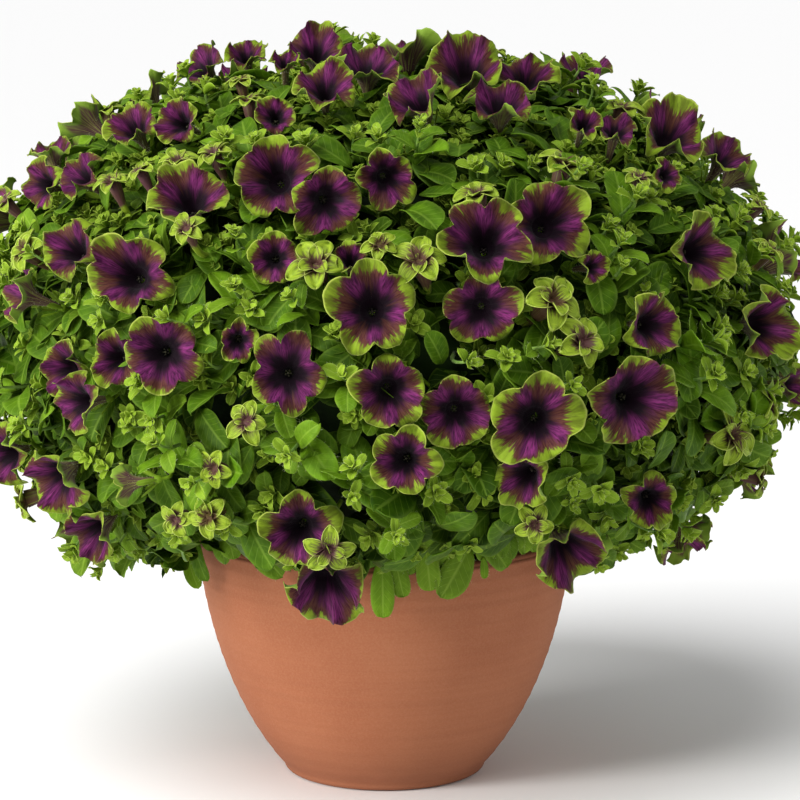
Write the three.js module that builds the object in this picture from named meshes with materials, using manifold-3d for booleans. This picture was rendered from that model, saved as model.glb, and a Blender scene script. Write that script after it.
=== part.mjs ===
// A mounded petunia in a rounded terracotta pot.
// Millimetres, +Z up, front towards -Y. The origin is the middle of the pot's foot, on the surface it stands on.

import * as THREE from 'three';
import { mergeVertices } from 'three/addons/utils/BufferGeometryUtils.js';
import Module from 'manifold-3d';

const wasm = await Module();
wasm.setup();

// ------------------------------------------------------------------ driving dimensions

// The pot's wall follows part of an upright ellipse, widest above the rim, so it leans out less and less.
const POT_HEIGHT = 190;
const POT_WIDEST_RADIUS = 147.5;
const POT_WIDEST_Z = 225;
const POT_ARC_HALF_HEIGHT = 260;
const POT_WALL = 9;
const POT_FLOOR = 12;
const POT_FOOT_BEVEL = 5;
const POT_INNER_LEVELS = [186, 128, 70, 20];
const POT_SIDES = 28;
const DRAIN_HOLES = 4;
const DRAIN_RADIUS = 7;
const DRAIN_CIRCLE_RADIUS = 45;

const SOIL_TOP = 168;
const SOIL_CRUMB = 2.2;
const FIT_GAP = 0.35;

// The planting: a dome that is a little boxier below its widest level, where it hangs round the pot's rim.
const MOUND_CENTRE_Z = 353;
const MOUND_RADIUS = 318;
const MOUND_HALF_HEIGHT = 210;
const MOUND_TOP_POWER = 2.1;
const MOUND_HEM_POWER = 2.7;
const MOUND_LOWEST_Z = 148;

// The dense inside of the bush, which leaves, shoots and blooms stand out of.
const CORE_INSET = 46;
const CORE_BOTTOM_Z = 202;
const CORE_DETAIL = 3;
const CORE_HOLLOWS = 26;
const FOOT_DEPTH = 32;

const CROWNS = 5;
const CROWN_CIRCLE_RADIUS = 68;
const CROWN_SPREAD = 1.25;
const CROWN_RADIUS = 7;
const CROWN_HEAD_RADIUS = 10;
const CROWN_DEPTH = 34;

const LEAF_LENGTH = 64;
const LEAF_WIDTH = 34;
const LEAF_THICKNESS = 0.9;
const LEAF_ARCH = 5;
const LEAF_FOLD = 3;
const LEAF_SPOTS = 190;
const LEAF_EVERY = 6;
const GROWTH_ATTEMPTS = 7;
const HEM_LEAVES = 46;
const HEM_FOOT_Z = 222;
const HEM_LEAF_LENGTH = 100;
const HEM_LEAF_WIDTH = 42;
const HEM_LEAF_ROOT = 34;
const HEM_POT_GAP = 10.5;
const WHORL_LEAVES = 4;
const WHORL_RADIUS = 47;
const WHORL_LEAF_HALF_ANGLE = 0.56;
const SMALL_BLOOM_MIN = 22;
const SMALL_BLOOM_MAX = 38;
const SMALL_BLOOM_SPOTS = 300;
const SMALL_BLOOM_SPACING = 78;
const SMALL_BLOOM_CLEARANCE = 48;

const BLOOM_MIN = 42;
const BLOOM_MAX = 64;
const BLOOM_LOBES = 5;
const BLOOM_RISE = 6;
const LOBE_REACH = 1.1;
const NOTCH_REACH = 0.78;
const THROAT_REACH = 0.36;
const NECK_REACH = 0.4;
const TUBE_LENGTH = 34;
const TUBE_LEFT = 7;
const CALYX_RADIUS = 4.2;
const BLOOM_SPACING = 74;
const BLOOM_SPOTS = 520;
const BLOOMS_PER_STALK = 3;
const STALK_REACH = 100;
const ROOT_RISE = 9;
const ROOT_LOWEST = -0.42;
const KNUCKLE_RADIUS = 5.5;

// The standpoint that the front of the bush was read from: a distant viewer, a little above the top.
const VIEWER = new THREE.Vector3(12, -2480, 701);
const VIEWER_AIM = new THREE.Vector3(12, 0, 289);
const VIEW_PER_PIXEL = 3.061e-4;
const VIEW_CENTRE_PIXEL = 400;
const VIEW_NEAR = 2050;
const VIEW_FAR = 2700;
const VIEW_STEP = 2;
const FRONT_LIMIT = 0.1;
const VIEW_SLOPE = 0.21;

// The hem as it is seen from the front, as [across, height] in the upright plane through the pot's axis: it rises
// towards both sides, sooner on the right.
const HEM_OUTLINE = [
  [-330, 262], [-292, 240], [-255, 215], [-246, 179], [-228, 134], [150, 134], [173, 163], [213, 179], [230, 194],
  [247, 222], [296, 242], [330, 262],
];

// Open purple blooms on the front. Each row: photo column, photo row, size across in mm, turn and lift of the
// face in degrees (turn 0 faces the viewer's side, + to the right; lift + is upward), and how deep it sits in mm.
const FRONT_BLOOMS = [
  [193, 55, 44, -50, 45, 0], [246, 56, 34, -10, 55, 0], [285, 62, 26, 0, 60, 2], [315, 50, 46, 0, 50, 0],
  [85, 120, 44, -110, 35, 0], [133, 126, 41, -30, 45, 0], [180, 123, 35, -30, 20, 0], [52, 153, 37, -60, 75, 0],
  [44, 185, 42, -45, 10, 0], [82, 177, 40, -50, 35, 0], [275, 177, 64, -8, 18, 0], [190, 197, 61, -5, 45, 0],
  [325, 88, 46, 0, 48, 0], [368, 66, 56, 5, 68, 0], [415, 97, 52, -40, 50, 0], [468, 65, 68, 0, 50, 0],
  [525, 72, 53, 0, 52, 4], [500, 98, 57, 0, 62, 4], [328, 203, 54, 10, 0, 8], [390, 180, 45, 10, 0, 14],
  [275, 112, 32, 0, 30, 10], [590, 65, 43, 10, 68, 0], [583, 125, 30, 10, 40, 0], [614, 134, 35, 15, 55, 0],
  [672, 132, 63, 25, 45, 0], [725, 157, 44, 45, 50, 0], [672, 172, 27, 30, 20, 12], [72, 248, 50, -35, 30, 0],
  [131, 275, 63, -15, 15, 0], [25, 295, 42, -75, 20, 0], [275, 258, 37, 0, 10, 14], [163, 353, 59, -5, 5, 0],
  [52, 368, 43, -40, 5, 12], [108, 360, 43, -20, 5, 14], [78, 403, 51, -45, 0, 0], [237, 343, 33, 0, 0, 12],
  [288, 373, 64, 0, 8, 0], [350, 252, 28, 0, 40, 10], [484, 243, 66, 0, 25, -8], [372, 308, 70, 0, 15, 0],
  [482, 312, 56, 0, 0, 16], [390, 392, 55, 5, 0, 4], [458, 415, 52, 5, 0, 14], [548, 222, 64, 10, 18, 0],
  [603, 266, 26, 40, 10, 14], [700, 250, 57, 40, 10, 0], [653, 325, 50, 35, 5, 3], [630, 398, 68, 20, 5, -5],
  [767, 325, 60, 40, 5, 0], [792, 386, 38, 60, 0, 0], [5, 455, 51, -40, -5, 0], [55, 480, 57, -40, -20, 0],
  [92, 535, 49, -40, -25, 0], [115, 485, 36, -100, -10, 10], [405, 460, 51, -5, 5, -4], [300, 530, 60, -5, -5, 0],
  [325, 590, 65, 0, -35, 0], [535, 420, 67, 0, 5, -6], [523, 478, 48, -30, -15, 2], [570, 556, 63, 25, -30, 0],
  [650, 500, 46, 10, -5, 0],
];

// Small lime-green blooms on the front. Each row: photo column, photo row, size across in mm.
const FRONT_SMALL_BLOOMS = [
  [112, 178, 25], [140, 168, 22], [177, 157, 28], [212, 150, 26], [248, 97, 24], [240, 78, 22], [477, 190, 30],
  [623, 104, 28], [567, 158, 38], [640, 175, 22], [762, 203, 24], [22, 248, 32], [195, 237, 24], [315, 262, 36],
  [419, 257, 36], [380, 243, 22], [556, 298, 40], [585, 340, 36], [772, 247, 24], [214, 468, 24], [175, 520, 24],
  [207, 517, 28], [246, 420, 28], [332, 537, 30], [535, 525, 26], [738, 435, 40], [775, 403, 34],
];

// ------------------------------------------------------------------ colours and finishes

const FINISHES = {
  terracotta: { color: 0xb9775a, roughness: 0.86, metalness: 0 },
  soil: { color: 0x3a2a20, roughness: 0.98, metalness: 0 },
  foliage: { color: 0x5f9434, roughness: 0.62, metalness: 0 },
  petals: { color: 0x5b1b5e, roughness: 0.7, metalness: 0 },
};

// ------------------------------------------------------------------ small helpers

const GOLDEN_ANGLE = Math.PI * (3 - Math.sqrt(5));
const UP = new THREE.Vector3(0, 0, 1);

const radians = (degrees) => (degrees * Math.PI) / 180;

// A repeatable number from 0 to 1 for item i and its k-th choice.
function pick(i, k) {
  const value = Math.sin(i * 12.9898 + k * 78.233) * 43758.5453;
  return value - Math.floor(value);
}

const between = (low, high, share) => low + (high - low) * share;

// A solid from points and outward-facing triangles.
function solidFrom(points, triangles) {
  const positions = new Float32Array(points.flatMap((point) => [point.x, point.y, point.z]));
  const mesh = new wasm.Mesh({ numProp: 3, vertProperties: positions, triVerts: new Uint32Array(triangles.flat()) });
  return new wasm.Manifold(mesh);
}

// A solid from a closed geometry, once its shared vertices are merged.
function solidFromGeometry(geometry) {
  geometry.deleteAttribute('normal');
  geometry.deleteAttribute('uv');
  const merged = mergeVertices(geometry, 1e-3);
  const vertProperties = new Float32Array(merged.attributes.position.array);
  const triVerts = new Uint32Array(merged.index.array);
  return new wasm.Manifold(new wasm.Mesh({ numProp: 3, vertProperties, triVerts }));
}

function geometryFrom(solid) {
  const { vertProperties, triVerts } = solid.getMesh();
  const geometry = new THREE.BufferGeometry();
  geometry.setAttribute('position', new THREE.BufferAttribute(new Float32Array(vertProperties), 3));
  geometry.setIndex(new THREE.BufferAttribute(new Uint32Array(triVerts), 1));
  return geometry;
}

// The largest connected body of a solid, without the loose scraps that a cut may leave.
function largestBody(solid) {
  const bodies = solid.decompose();
  return bodies.reduce((best, body) => (body.volume() > best.volume() ? body : best));
}

function namedMesh(name, solid, finish) {
  const mesh = new THREE.Mesh(geometryFrom(solid), new THREE.MeshStandardMaterial(FINISHES[finish]));
  mesh.name = name;
  return mesh;
}

// Two directions square to an axis and to each other, turned by an angle.
function crossAxes(axis, spin) {
  const helper = Math.abs(axis.z) < 0.9 ? UP : new THREE.Vector3(1, 0, 0);
  const side = new THREE.Vector3().crossVectors(helper, axis).normalize().applyAxisAngle(axis, spin);
  return [side, new THREE.Vector3().crossVectors(axis, side)];
}

// Points round an axis: `radius` and `height` may depend on the point's number, and `flatten` narrows the ring.
function ring(count, centre, axis, spin, radius, height, flatten = 1) {
  const [side, other] = crossAxes(axis, spin);
  return Array.from({ length: count }, (_, i) => {
    const angle = (2 * Math.PI * i) / count;
    return centre.clone()
      .addScaledVector(side, Math.cos(angle) * radius(i))
      .addScaledVector(other, Math.sin(angle) * radius(i) * flatten)
      .addScaledVector(axis, height(i));
  });
}

// ------------------------------------------------------------------ pot and soil

function potOuterRadius(z) {
  return POT_WIDEST_RADIUS * Math.sqrt(1 - ((POT_WIDEST_Z - z) / POT_ARC_HALF_HEIGHT) ** 2);
}

function lathe(profile) {
  const points = profile.map(([radius, z]) => new THREE.Vector2(radius, z));
  return new THREE.LatheGeometry(points, POT_SIDES).rotateX(Math.PI / 2);
}

function steps(from, to, count) {
  return Array.from({ length: count + 1 }, (_, i) => between(from, to, i / count));
}

function potSolid() {
  const lipZ = POT_HEIGHT - 4;
  const innerRadius = (z) => potOuterRadius(z) - POT_WALL;
  const profile = [
    [0, 0],
    [potOuterRadius(0) - POT_FOOT_BEVEL, 0],
    ...steps(POT_FOOT_BEVEL, lipZ, 5).map((z) => [potOuterRadius(z), z]),
    [potOuterRadius(lipZ) - 2.5, POT_HEIGHT],
    [innerRadius(lipZ) + 2.5, POT_HEIGHT],
    ...POT_INNER_LEVELS.map((z) => [innerRadius(z), z]),
    [innerRadius(POT_FLOOR) - 6, POT_FLOOR],
    [0, POT_FLOOR],
  ];
  let pot = solidFromGeometry(lathe(profile));
  for (let i = 0; i < DRAIN_HOLES; i += 1) {
    const angle = (2 * Math.PI * (i + 0.5)) / DRAIN_HOLES;
    const hole = new THREE.CylinderGeometry(DRAIN_RADIUS, DRAIN_RADIUS, 3 * POT_FLOOR, 8).rotateX(Math.PI / 2);
    hole.translate(DRAIN_CIRCLE_RADIUS * Math.cos(angle), DRAIN_CIRCLE_RADIUS * Math.sin(angle), POT_FLOOR / 2);
    pot = pot.subtract(solidFromGeometry(hole));
  }
  return pot;
}

// The stem of one crown, from the soil up into the bush; grown a little, it is the hole that the stem stands in.
function crownSolid(i, grow) {
  const angle = (2 * Math.PI * (i + 0.25)) / CROWNS;
  const spot = new THREE.Vector3(CROWN_CIRCLE_RADIUS * Math.cos(angle), CROWN_CIRCLE_RADIUS * Math.sin(angle), 0);
  const foot = spot.clone().setZ(SOIL_TOP - CROWN_DEPTH - grow);
  const head = spot.clone().multiplyScalar(CROWN_SPREAD).setZ(CORE_BOTTOM_Z + 25);
  return stemSolid(foot, head, CROWN_RADIUS + 2 * grow, CROWN_HEAD_RADIUS + 2 * grow, 5);
}

function soilSolid() {
  const edgeRadius = (z) => potOuterRadius(z) - POT_WALL - 3 * FIT_GAP;
  const profile = [
    [0, POT_FLOOR + FIT_GAP],
    [edgeRadius(POT_FLOOR) - 7, POT_FLOOR + FIT_GAP],
    ...POT_INNER_LEVELS.slice(1).reverse().map((z) => [edgeRadius(z), z]),
    [edgeRadius(SOIL_TOP - 3) - 0.5, SOIL_TOP - 3],
    ...steps(edgeRadius(SOIL_TOP) - 4, 50, 1).map((radius) => [radius, SOIL_TOP]),
    [0, SOIL_TOP],
  ];
  const geometry = lathe(profile);
  const places = geometry.attributes.position;
  for (let i = 0; i < places.count; i += 1) {
    if (places.getZ(i) > SOIL_TOP - 1) {
      const [x, y] = [places.getX(i), places.getY(i)];
      const crumbs = Math.sin(0.21 * x + 1) * Math.cos(0.17 * y) + 0.6 * Math.sin(0.09 * (x - y));
      places.setZ(i, SOIL_TOP + SOIL_CRUMB * crumbs);
    }
  }
  let soil = solidFromGeometry(geometry);
  for (let i = 0; i < CROWNS; i += 1) soil = soil.subtract(crownSolid(i, FIT_GAP));
  return soil;
}

// ------------------------------------------------------------------ the dome of the bush

const moundPower = (z) => (z > MOUND_CENTRE_Z ? MOUND_TOP_POWER : MOUND_HEM_POWER);

// Under 1 inside the dome, 1 on its surface.
function moundLevel(point) {
  const power = moundPower(point.z);
  const radial = Math.hypot(point.x, point.y) / MOUND_RADIUS;
  const upright = Math.abs(point.z - MOUND_CENTRE_Z) / MOUND_HALF_HEIGHT;
  return radial ** power + upright ** power;
}

// The outward direction of the dome's surface at a point.
function moundNormal(point) {
  const power = moundPower(point.z);
  const radius = Math.hypot(point.x, point.y);
  const radial = (radius / MOUND_RADIUS) ** (power - 1) / MOUND_RADIUS;
  const height = point.z - MOUND_CENTRE_Z;
  const upright = (Math.sign(height) * (Math.abs(height) / MOUND_HALF_HEIGHT) ** (power - 1)) / MOUND_HALF_HEIGHT;
  const share = radius > 0 ? radial / radius : 0;
  return new THREE.Vector3(point.x * share, point.y * share, upright).normalize();
}

// The point of the dome (or of the smaller dome inside it) in a direction from its centre.
function moundPoint(direction, inset = 0) {
  const power = direction.z > 0 ? MOUND_TOP_POWER : MOUND_HEM_POWER;
  const radial = Math.hypot(direction.x, direction.y) / (MOUND_RADIUS - inset);
  const upright = Math.abs(direction.z) / (MOUND_HALF_HEIGHT - inset);
  const reach = (radial ** power + upright ** power) ** (-1 / power);
  return direction.clone().multiplyScalar(reach).add(new THREE.Vector3(0, 0, MOUND_CENTRE_Z));
}

// The i-th of `count` directions spread evenly by the golden angle, from the top down.
function spreadDirection(i, count) {
  const height = 1 - (2 * (i + 0.5)) / count;
  const flat = Math.sqrt(1 - height * height);
  const angle = i * GOLDEN_ANGLE;
  return new THREE.Vector3(flat * Math.cos(angle), flat * Math.sin(angle), height);
}

// Where the sight line through a pixel first meets the dome, or its nearest point if it passes by.
function seenPoint(column, row) {
  const forward = VIEWER_AIM.clone().sub(VIEWER).normalize();
  const right = new THREE.Vector3(1, 0, 0);
  const upward = new THREE.Vector3().crossVectors(right, forward);
  const line = forward.clone()
    .addScaledVector(right, (column - VIEW_CENTRE_PIXEL) * VIEW_PER_PIXEL)
    .addScaledVector(upward, (VIEW_CENTRE_PIXEL - row) * VIEW_PER_PIXEL)
    .normalize();
  let nearest = null;
  let lowest = Infinity;
  for (let along = VIEW_NEAR; along < VIEW_FAR; along += VIEW_STEP) {
    const point = VIEWER.clone().addScaledVector(line, along);
    const level = moundLevel(point);
    if (level < lowest) {
      lowest = level;
      nearest = point;
    }
    if (level < 1) break;
  }
  const direction = nearest.clone().sub(new THREE.Vector3(0, 0, MOUND_CENTRE_Z));
  return moundPoint(direction);
}

const facing = (turn, lift) => new THREE.Vector3(
  Math.cos(radians(lift)) * Math.sin(radians(turn)),
  -Math.cos(radians(lift)) * Math.cos(radians(turn)),
  Math.sin(radians(lift)),
);

// Whether a place on the dome can be seen from the viewer's side, where the hand-read rows apply.
function onTheFront(point, normal) {
  return VIEWER.clone().sub(point).normalize().dot(normal) > FRONT_LIMIT;
}

// ------------------------------------------------------------------ placing the purple blooms

// `depth` is how far the throat lies under the rim; some length of the tube is left behind it.
function bloomAt(seat, face, across, sink, number) {
  const centre = seat.clone().addScaledVector(face, BLOOM_RISE - sink);
  const tube = TUBE_LENGTH - 0.7 * sink;
  const depth = Math.min(between(0.52, 0.84, pick(number, 17)) * (across / 2), tube - TUBE_LEFT);
  return { centre, face, across, tube, depth, spin: 2 * Math.PI * pick(number, 5), number };
}

function placeBlooms() {
  const blooms = FRONT_BLOOMS.map(([column, row, across, turn, lift, sink], i) => (
    bloomAt(seenPoint(column, row), facing(turn, lift), across, sink, i)));
  for (let i = 0; i < BLOOM_SPOTS; i += 1) {
    const seat = moundPoint(spreadDirection(i, BLOOM_SPOTS));
    const normal = moundNormal(seat);
    const number = FRONT_BLOOMS.length + i;
    const clear = blooms.every((bloom) => bloom.centre.distanceTo(seat) > BLOOM_SPACING);
    if (seat.z > MOUND_LOWEST_Z + 24 && clear && !onTheFront(seat, normal)) {
      const lean = new THREE.Vector3(pick(number, 1) - 0.5, pick(number, 2) - 0.5, 0.3 * pick(number, 3));
      const face = normal.clone().addScaledVector(lean, 0.7).normalize();
      const across = between(BLOOM_MIN, BLOOM_MAX, pick(number, 4));
      blooms.push(bloomAt(seat, face, across, 10 * pick(number, 6), number));
    }
  }
  return blooms;
}

// Neighbouring blooms that share one stalk, starting each time from the bloom with the fewest free neighbours.
function shareStalks(blooms) {
  const free = new Set(blooms);
  const near = (bloom) => [...free]
    .filter((other) => other !== bloom && other.centre.distanceTo(bloom.centre) < STALK_REACH)
    .sort((a, b) => a.centre.distanceTo(bloom.centre) - b.centre.distanceTo(bloom.centre));
  const groups = [];
  while (free.size > 0) {
    const loneliest = [...free].reduce((best, bloom) => (near(bloom).length < near(best).length ? bloom : best));
    const group = [loneliest, ...near(loneliest).slice(0, BLOOMS_PER_STALK - 1)];
    group.forEach((bloom) => free.delete(bloom));
    groups.push(group);
  }
  return groups;
}

// ------------------------------------------------------------------ solids of the plant

// Triangles between a ring of lobe tips and notches, and an inner ring with one point a lobe.
function lobeTriangles(lobes, outer, inner, outward) {
  const triangles = [];
  for (let i = 0; i < lobes; i += 1) {
    const next = (i + 1) % lobes;
    const [tip, notch, nextTip] = [outer + 2 * i, outer + 2 * i + 1, outer + 2 * next];
    triangles.push([tip, notch, inner + i], [notch, inner + next, inner + i], [notch, nextTip, inner + next]);
  }
  return outward ? triangles : triangles.map(([a, b, c]) => [a, c, b]);
}

function tubeTriangles(count, upper, lower) {
  return Array.from({ length: count }, (_, i) => {
    const next = (i + 1) % count;
    return [[upper + i, lower + i, lower + next], [upper + i, lower + next, upper + next]];
  }).flat();
}

// From a ring of five down to a ring of three.
function taperTriangles(five, three) {
  const upper = (i) => five + (i % 5);
  const lower = (i) => three + (i % 3);
  return [
    [upper(0), lower(0), upper(1)], [upper(1), lower(0), lower(1)], [upper(1), lower(1), upper(2)],
    [upper(2), lower(1), upper(3)], [upper(3), lower(1), lower(2)], [upper(3), lower(2), upper(4)],
    [upper(4), lower(2), lower(0)], [upper(4), lower(0), upper(0)],
  ];
}

function fanTriangles(count, base, point, upward) {
  return Array.from({ length: count }, (_, i) => {
    const next = (i + 1) % count;
    return upward ? [base + i, base + next, point] : [base + i, point, base + next];
  });
}

const isTip = (i) => i % 2 === 0;

// One open bloom: a five-lobed limb that dips into a throat, a tube behind it, and a stalk down to the root.
// Each lobe has its own length and curls back by its own amount, and the limb is a little narrowed and bent.
function bloomSolid(bloom, root, grow = 0) {
  const { centre, face, across, spin, depth, number } = bloom;
  const radius = across / 2 + grow;
  const curl = (i) => pick(number, 50 + i / 2);
  const bentBy = 0.13 * (0.3 + pick(number, 19));
  const bend = (i) => bentBy * Math.cos((2 * Math.PI * i) / BLOOM_LOBES + 6 * pick(number, 18));
  const rimRadius = (i) => radius * (isTip(i)
    ? (LOBE_REACH + 0.15 * (pick(number, 60 + i / 2) - 0.5)) * (1 - 0.12 * curl(i)) : NOTCH_REACH);
  const rimHeight = (i) => radius * ((isTip(i) ? -0.08 - 0.36 * curl(i) : 0.06) + bend(i)) + grow;
  const calyxCentre = centre.clone().addScaledVector(face, -bloom.tube);
  const stalk = calyxCentre.clone().sub(root).normalize();
  const end = root.clone().addScaledVector(stalk, -3 - grow);
  const rim = ring(2 * BLOOM_LOBES, centre, face, spin, rimRadius, rimHeight, 1 - 0.2 * pick(number, 24));
  const throat = ring(BLOOM_LOBES, centre, face, spin, () => THROAT_REACH * radius,
    () => -0.6 * depth + grow);
  const neck = ring(BLOOM_LOBES, centre, face, spin, () => NECK_REACH * radius + grow,
    () => -0.6 * depth - 0.2 * radius - grow);
  const calyx = ring(3, calyxCentre, stalk.add(face).normalize(), spin, () => CALYX_RADIUS + grow, () => 0);
  const deep = centre.clone().addScaledVector(face, -depth - 2 + grow);
  const points = [...rim, ...throat, ...neck, ...calyx, deep, end];
  const [throatAt, neckAt, calyxAt] = [2, 3, 4].map((rings) => rings * BLOOM_LOBES);
  const deepAt = calyxAt + 3;
  return solidFrom(points, [
    ...lobeTriangles(BLOOM_LOBES, 0, throatAt, true),
    ...fanTriangles(BLOOM_LOBES, throatAt, deepAt, true),
    ...lobeTriangles(BLOOM_LOBES, 0, neckAt, false),
    ...taperTriangles(neckAt, calyxAt),
    ...fanTriangles(3, calyxAt, deepAt + 1, false),
  ]);
}

// A small half-open bloom: five short lobes round a dent, on a tube that narrows to its foot.
function smallBloomSolid({ centre, face, spin, radius, foot }) {
  const rim = ring(2 * BLOOM_LOBES, centre, face, spin,
    (i) => (isTip(i) ? radius : 0.58 * radius), (i) => (isTip(i) ? 0.1 * radius : 0));
  const dent = centre.clone().addScaledVector(face, -0.45 * radius);
  const dentAt = 2 * BLOOM_LOBES;
  return solidFrom([...rim, dent, foot], [
    ...fanTriangles(2 * BLOOM_LOBES, 0, dentAt, true),
    ...fanTriangles(2 * BLOOM_LOBES, 0, dentAt + 1, false),
  ]);
}

// The leafy tip of a shoot: crossed leaves round one stem. Each leaf has two shoulders and a tip, and is folded
// along its midrib; the stem narrows to its foot.
function whorlSolid({ centre, face, spin, radius, foot }) {
  const [side, other] = crossAxes(face, spin);
  const place = (angle, share, rise) => centre.clone()
    .addScaledVector(side, Math.cos(angle) * share * radius)
    .addScaledVector(other, Math.sin(angle) * share * radius)
    .addScaledVector(face, rise * radius);
  const turn = (2 * Math.PI) / WHORL_LEAVES;
  const rim = [];
  for (let i = 0; i < WHORL_LEAVES; i += 1) {
    const length = i % 2 === 0 ? 1 : 0.86;
    rim.push(
      place(i * turn, length, 0.02), place(i * turn + WHORL_LEAF_HALF_ANGLE, 0.68 * length, 0.16),
      place((i + 0.5) * turn, 0.2, -0.02),
      place((i + 1) * turn - WHORL_LEAF_HALF_ANGLE, 0.68 * (1.86 - length), 0.16));
  }
  const stem = ring(WHORL_LEAVES, centre, face, spin, () => 3.2, () => -0.3 * radius);
  const points = [...rim, ...stem, centre, foot];
  const stemAt = 4 * WHORL_LEAVES;
  const centreAt = 5 * WHORL_LEAVES;
  const triangles = fanTriangles(4 * WHORL_LEAVES, 0, centreAt, true);
  for (let i = 0; i < WHORL_LEAVES; i += 1) {
    const next = (i + 1) % WHORL_LEAVES;
    const [tip, shoulder, notch, nextShoulder, nextTip] = [4 * i, 4 * i + 1, 4 * i + 2, 4 * i + 3, 4 * next];
    triangles.push([tip, stemAt + i, shoulder], [shoulder, stemAt + i, notch]);
    triangles.push([notch, stemAt + i, stemAt + next]);
    triangles.push([notch, stemAt + next, nextShoulder], [nextShoulder, stemAt + next, nextTip]);
  }
  return solidFrom(points, [...triangles, ...fanTriangles(WHORL_LEAVES, stemAt, centreAt + 1, false)]);
}

// A leaf blade, folded a little along its midrib and arched over its length.
function leafSolid({ foot, along, face, length, width, arch, fold }) {
  const side = new THREE.Vector3().crossVectors(face, along).normalize();
  const up = new THREE.Vector3().crossVectors(along, side).normalize();
  const at = (share, sideways, rise) => foot.clone()
    .addScaledVector(along, share * length)
    .addScaledVector(side, sideways * width)
    .addScaledVector(up, rise + arch * Math.sin(Math.PI * share));
  const top = [
    at(0, 0, 0), at(0.36, 0.5, fold), at(0.76, 0.4, fold), at(1, 0, 0), at(0.76, -0.4, fold), at(0.36, -0.5, fold),
    at(0.52, 0, 0),
  ];
  const bottom = top.map((point) => point.clone().addScaledVector(up, -LEAF_THICKNESS));
  const edge = 6;
  const rib = 6;
  const triangles = [];
  for (let i = 0; i < edge; i += 1) {
    const next = (i + 1) % edge;
    triangles.push([next, i, rib], [i + 7, next + 7, rib + 7]);
    triangles.push([i, next, next + 7], [i, next + 7, i + 7]);
  }
  return solidFrom([...top, ...bottom], triangles);
}

// A straight round stem from one point to another.
function stemSolid(from, to, radiusFrom, radiusTo, sides) {
  const axis = to.clone().sub(from).normalize();
  const lower = ring(sides, from, axis, 0, () => radiusFrom, () => 0);
  const upper = ring(sides, to, axis, 0, () => radiusTo, () => 0);
  return solidFrom([...upper, ...lower, to, from], [
    ...tubeTriangles(sides, 0, sides),
    ...fanTriangles(sides, 0, 2 * sides, true),
    ...fanTriangles(sides, sides, 2 * sides + 1, false),
  ]);
}

// The dense inside of the bush: a crumpled skin of folds about as large as leaves. The corners of a coarse
// sphere are sunk by differing amounts, and the middle of each facet stands out as a fold.
function coreSolid() {
  const places = new THREE.IcosahedronGeometry(1, CORE_DETAIL).attributes.position;
  const corner = (i) => new THREE.Vector3().fromBufferAttribute(places, i).normalize();
  const skin = (direction, sink) => {
    const point = moundPoint(direction, CORE_INSET + sink);
    return point.setZ(Math.max(point.z, CORE_BOTTOM_Z));
  };
  const sinkOf = (direction) => {
    const [x, y, z] = direction.toArray().map((value) => Math.round(40 * value));
    return CORE_HOLLOWS * (0.4 + 0.6 * pick(x + 7 * y + 13 * z, 8));
  };
  const positions = [];
  for (let i = 0; i < places.count; i += 3) {
    const corners = [corner(i), corner(i + 1), corner(i + 2)];
    const [a, b, c] = corners.map((direction) => skin(direction, sinkOf(direction)));
    const lean = corners[i % 9 / 3].clone().multiplyScalar(0.8);
    const middle = corners.reduce((sum, direction) => sum.add(direction), lean).normalize();
    const fold = skin(middle, 0);
    if (fold.z > CORE_BOTTOM_Z + CORE_HOLLOWS) {
      for (const [from, to] of [[a, b], [b, c], [c, a]]) positions.push(...from, ...to, ...fold);
    } else {
      positions.push(...a, ...b, ...c);
    }
  }
  const geometry = new THREE.BufferGeometry();
  geometry.setAttribute('position', new THREE.Float32BufferAttribute(positions, 3));
  return solidFromGeometry(geometry);
}

// ------------------------------------------------------------------ the bloom sprays

// Where a spray's stalk enters the dense inside of the bush, with the outward direction there.
function rootOf(group) {
  const middle = group.reduce((sum, bloom) => sum.add(bloom.centre), new THREE.Vector3());
  middle.divideScalar(group.length);
  const direction = middle.sub(new THREE.Vector3(0, 0, MOUND_CENTRE_Z)).normalize();
  direction.z = Math.max(direction.z, ROOT_LOWEST);
  const foot = moundPoint(direction.normalize(), CORE_INSET);
  const outward = moundNormal(foot);
  return { foot, outward, root: foot.clone().addScaledVector(outward, ROOT_RISE) };
}

// The short stem that a spray's stalks meet on, and that stands in a plain hole of the bush.
function knuckleSolid(group, grow) {
  const { foot, outward } = rootOf(group);
  const inner = foot.clone().addScaledVector(outward, -FOOT_DEPTH - grow);
  const outer = foot.clone().addScaledVector(outward, ROOT_RISE + 5 + grow);
  return stemSolid(inner, outer, KNUCKLE_RADIUS - 1.5 + grow, KNUCKLE_RADIUS + grow, 3);
}

function spraySolid(group, grow) {
  const { root } = rootOf(group);
  return group.reduce((solid, bloom) => solid.add(bloomSolid(bloom, root, grow)), knuckleSolid(group, grow));
}

// ------------------------------------------------------------------ the leafy growth

function placeSmallBlooms(blooms) {
  const places = FRONT_SMALL_BLOOMS.map(([column, row, across], i) => ({
    seat: seenPoint(column, row), across, number: 900 + i,
  }));
  for (let i = 0; i < SMALL_BLOOM_SPOTS; i += 1) {
    const direction = spreadDirection(i, SMALL_BLOOM_SPOTS).applyAxisAngle(UP, 1.1);
    const seat = moundPoint(direction);
    const clear = blooms.every((bloom) => bloom.centre.distanceTo(seat) > SMALL_BLOOM_CLEARANCE)
      && places.every((place) => place.seat.distanceTo(seat) > SMALL_BLOOM_SPACING);
    if (clear && seat.z > MOUND_LOWEST_Z + 40 && !onTheFront(seat, moundNormal(seat))) {
      const across = between(SMALL_BLOOM_MIN, SMALL_BLOOM_MAX, pick(i, 7));
      places.push({ seat, across, number: 930 + i });
    }
  }
  return places;
}

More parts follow.
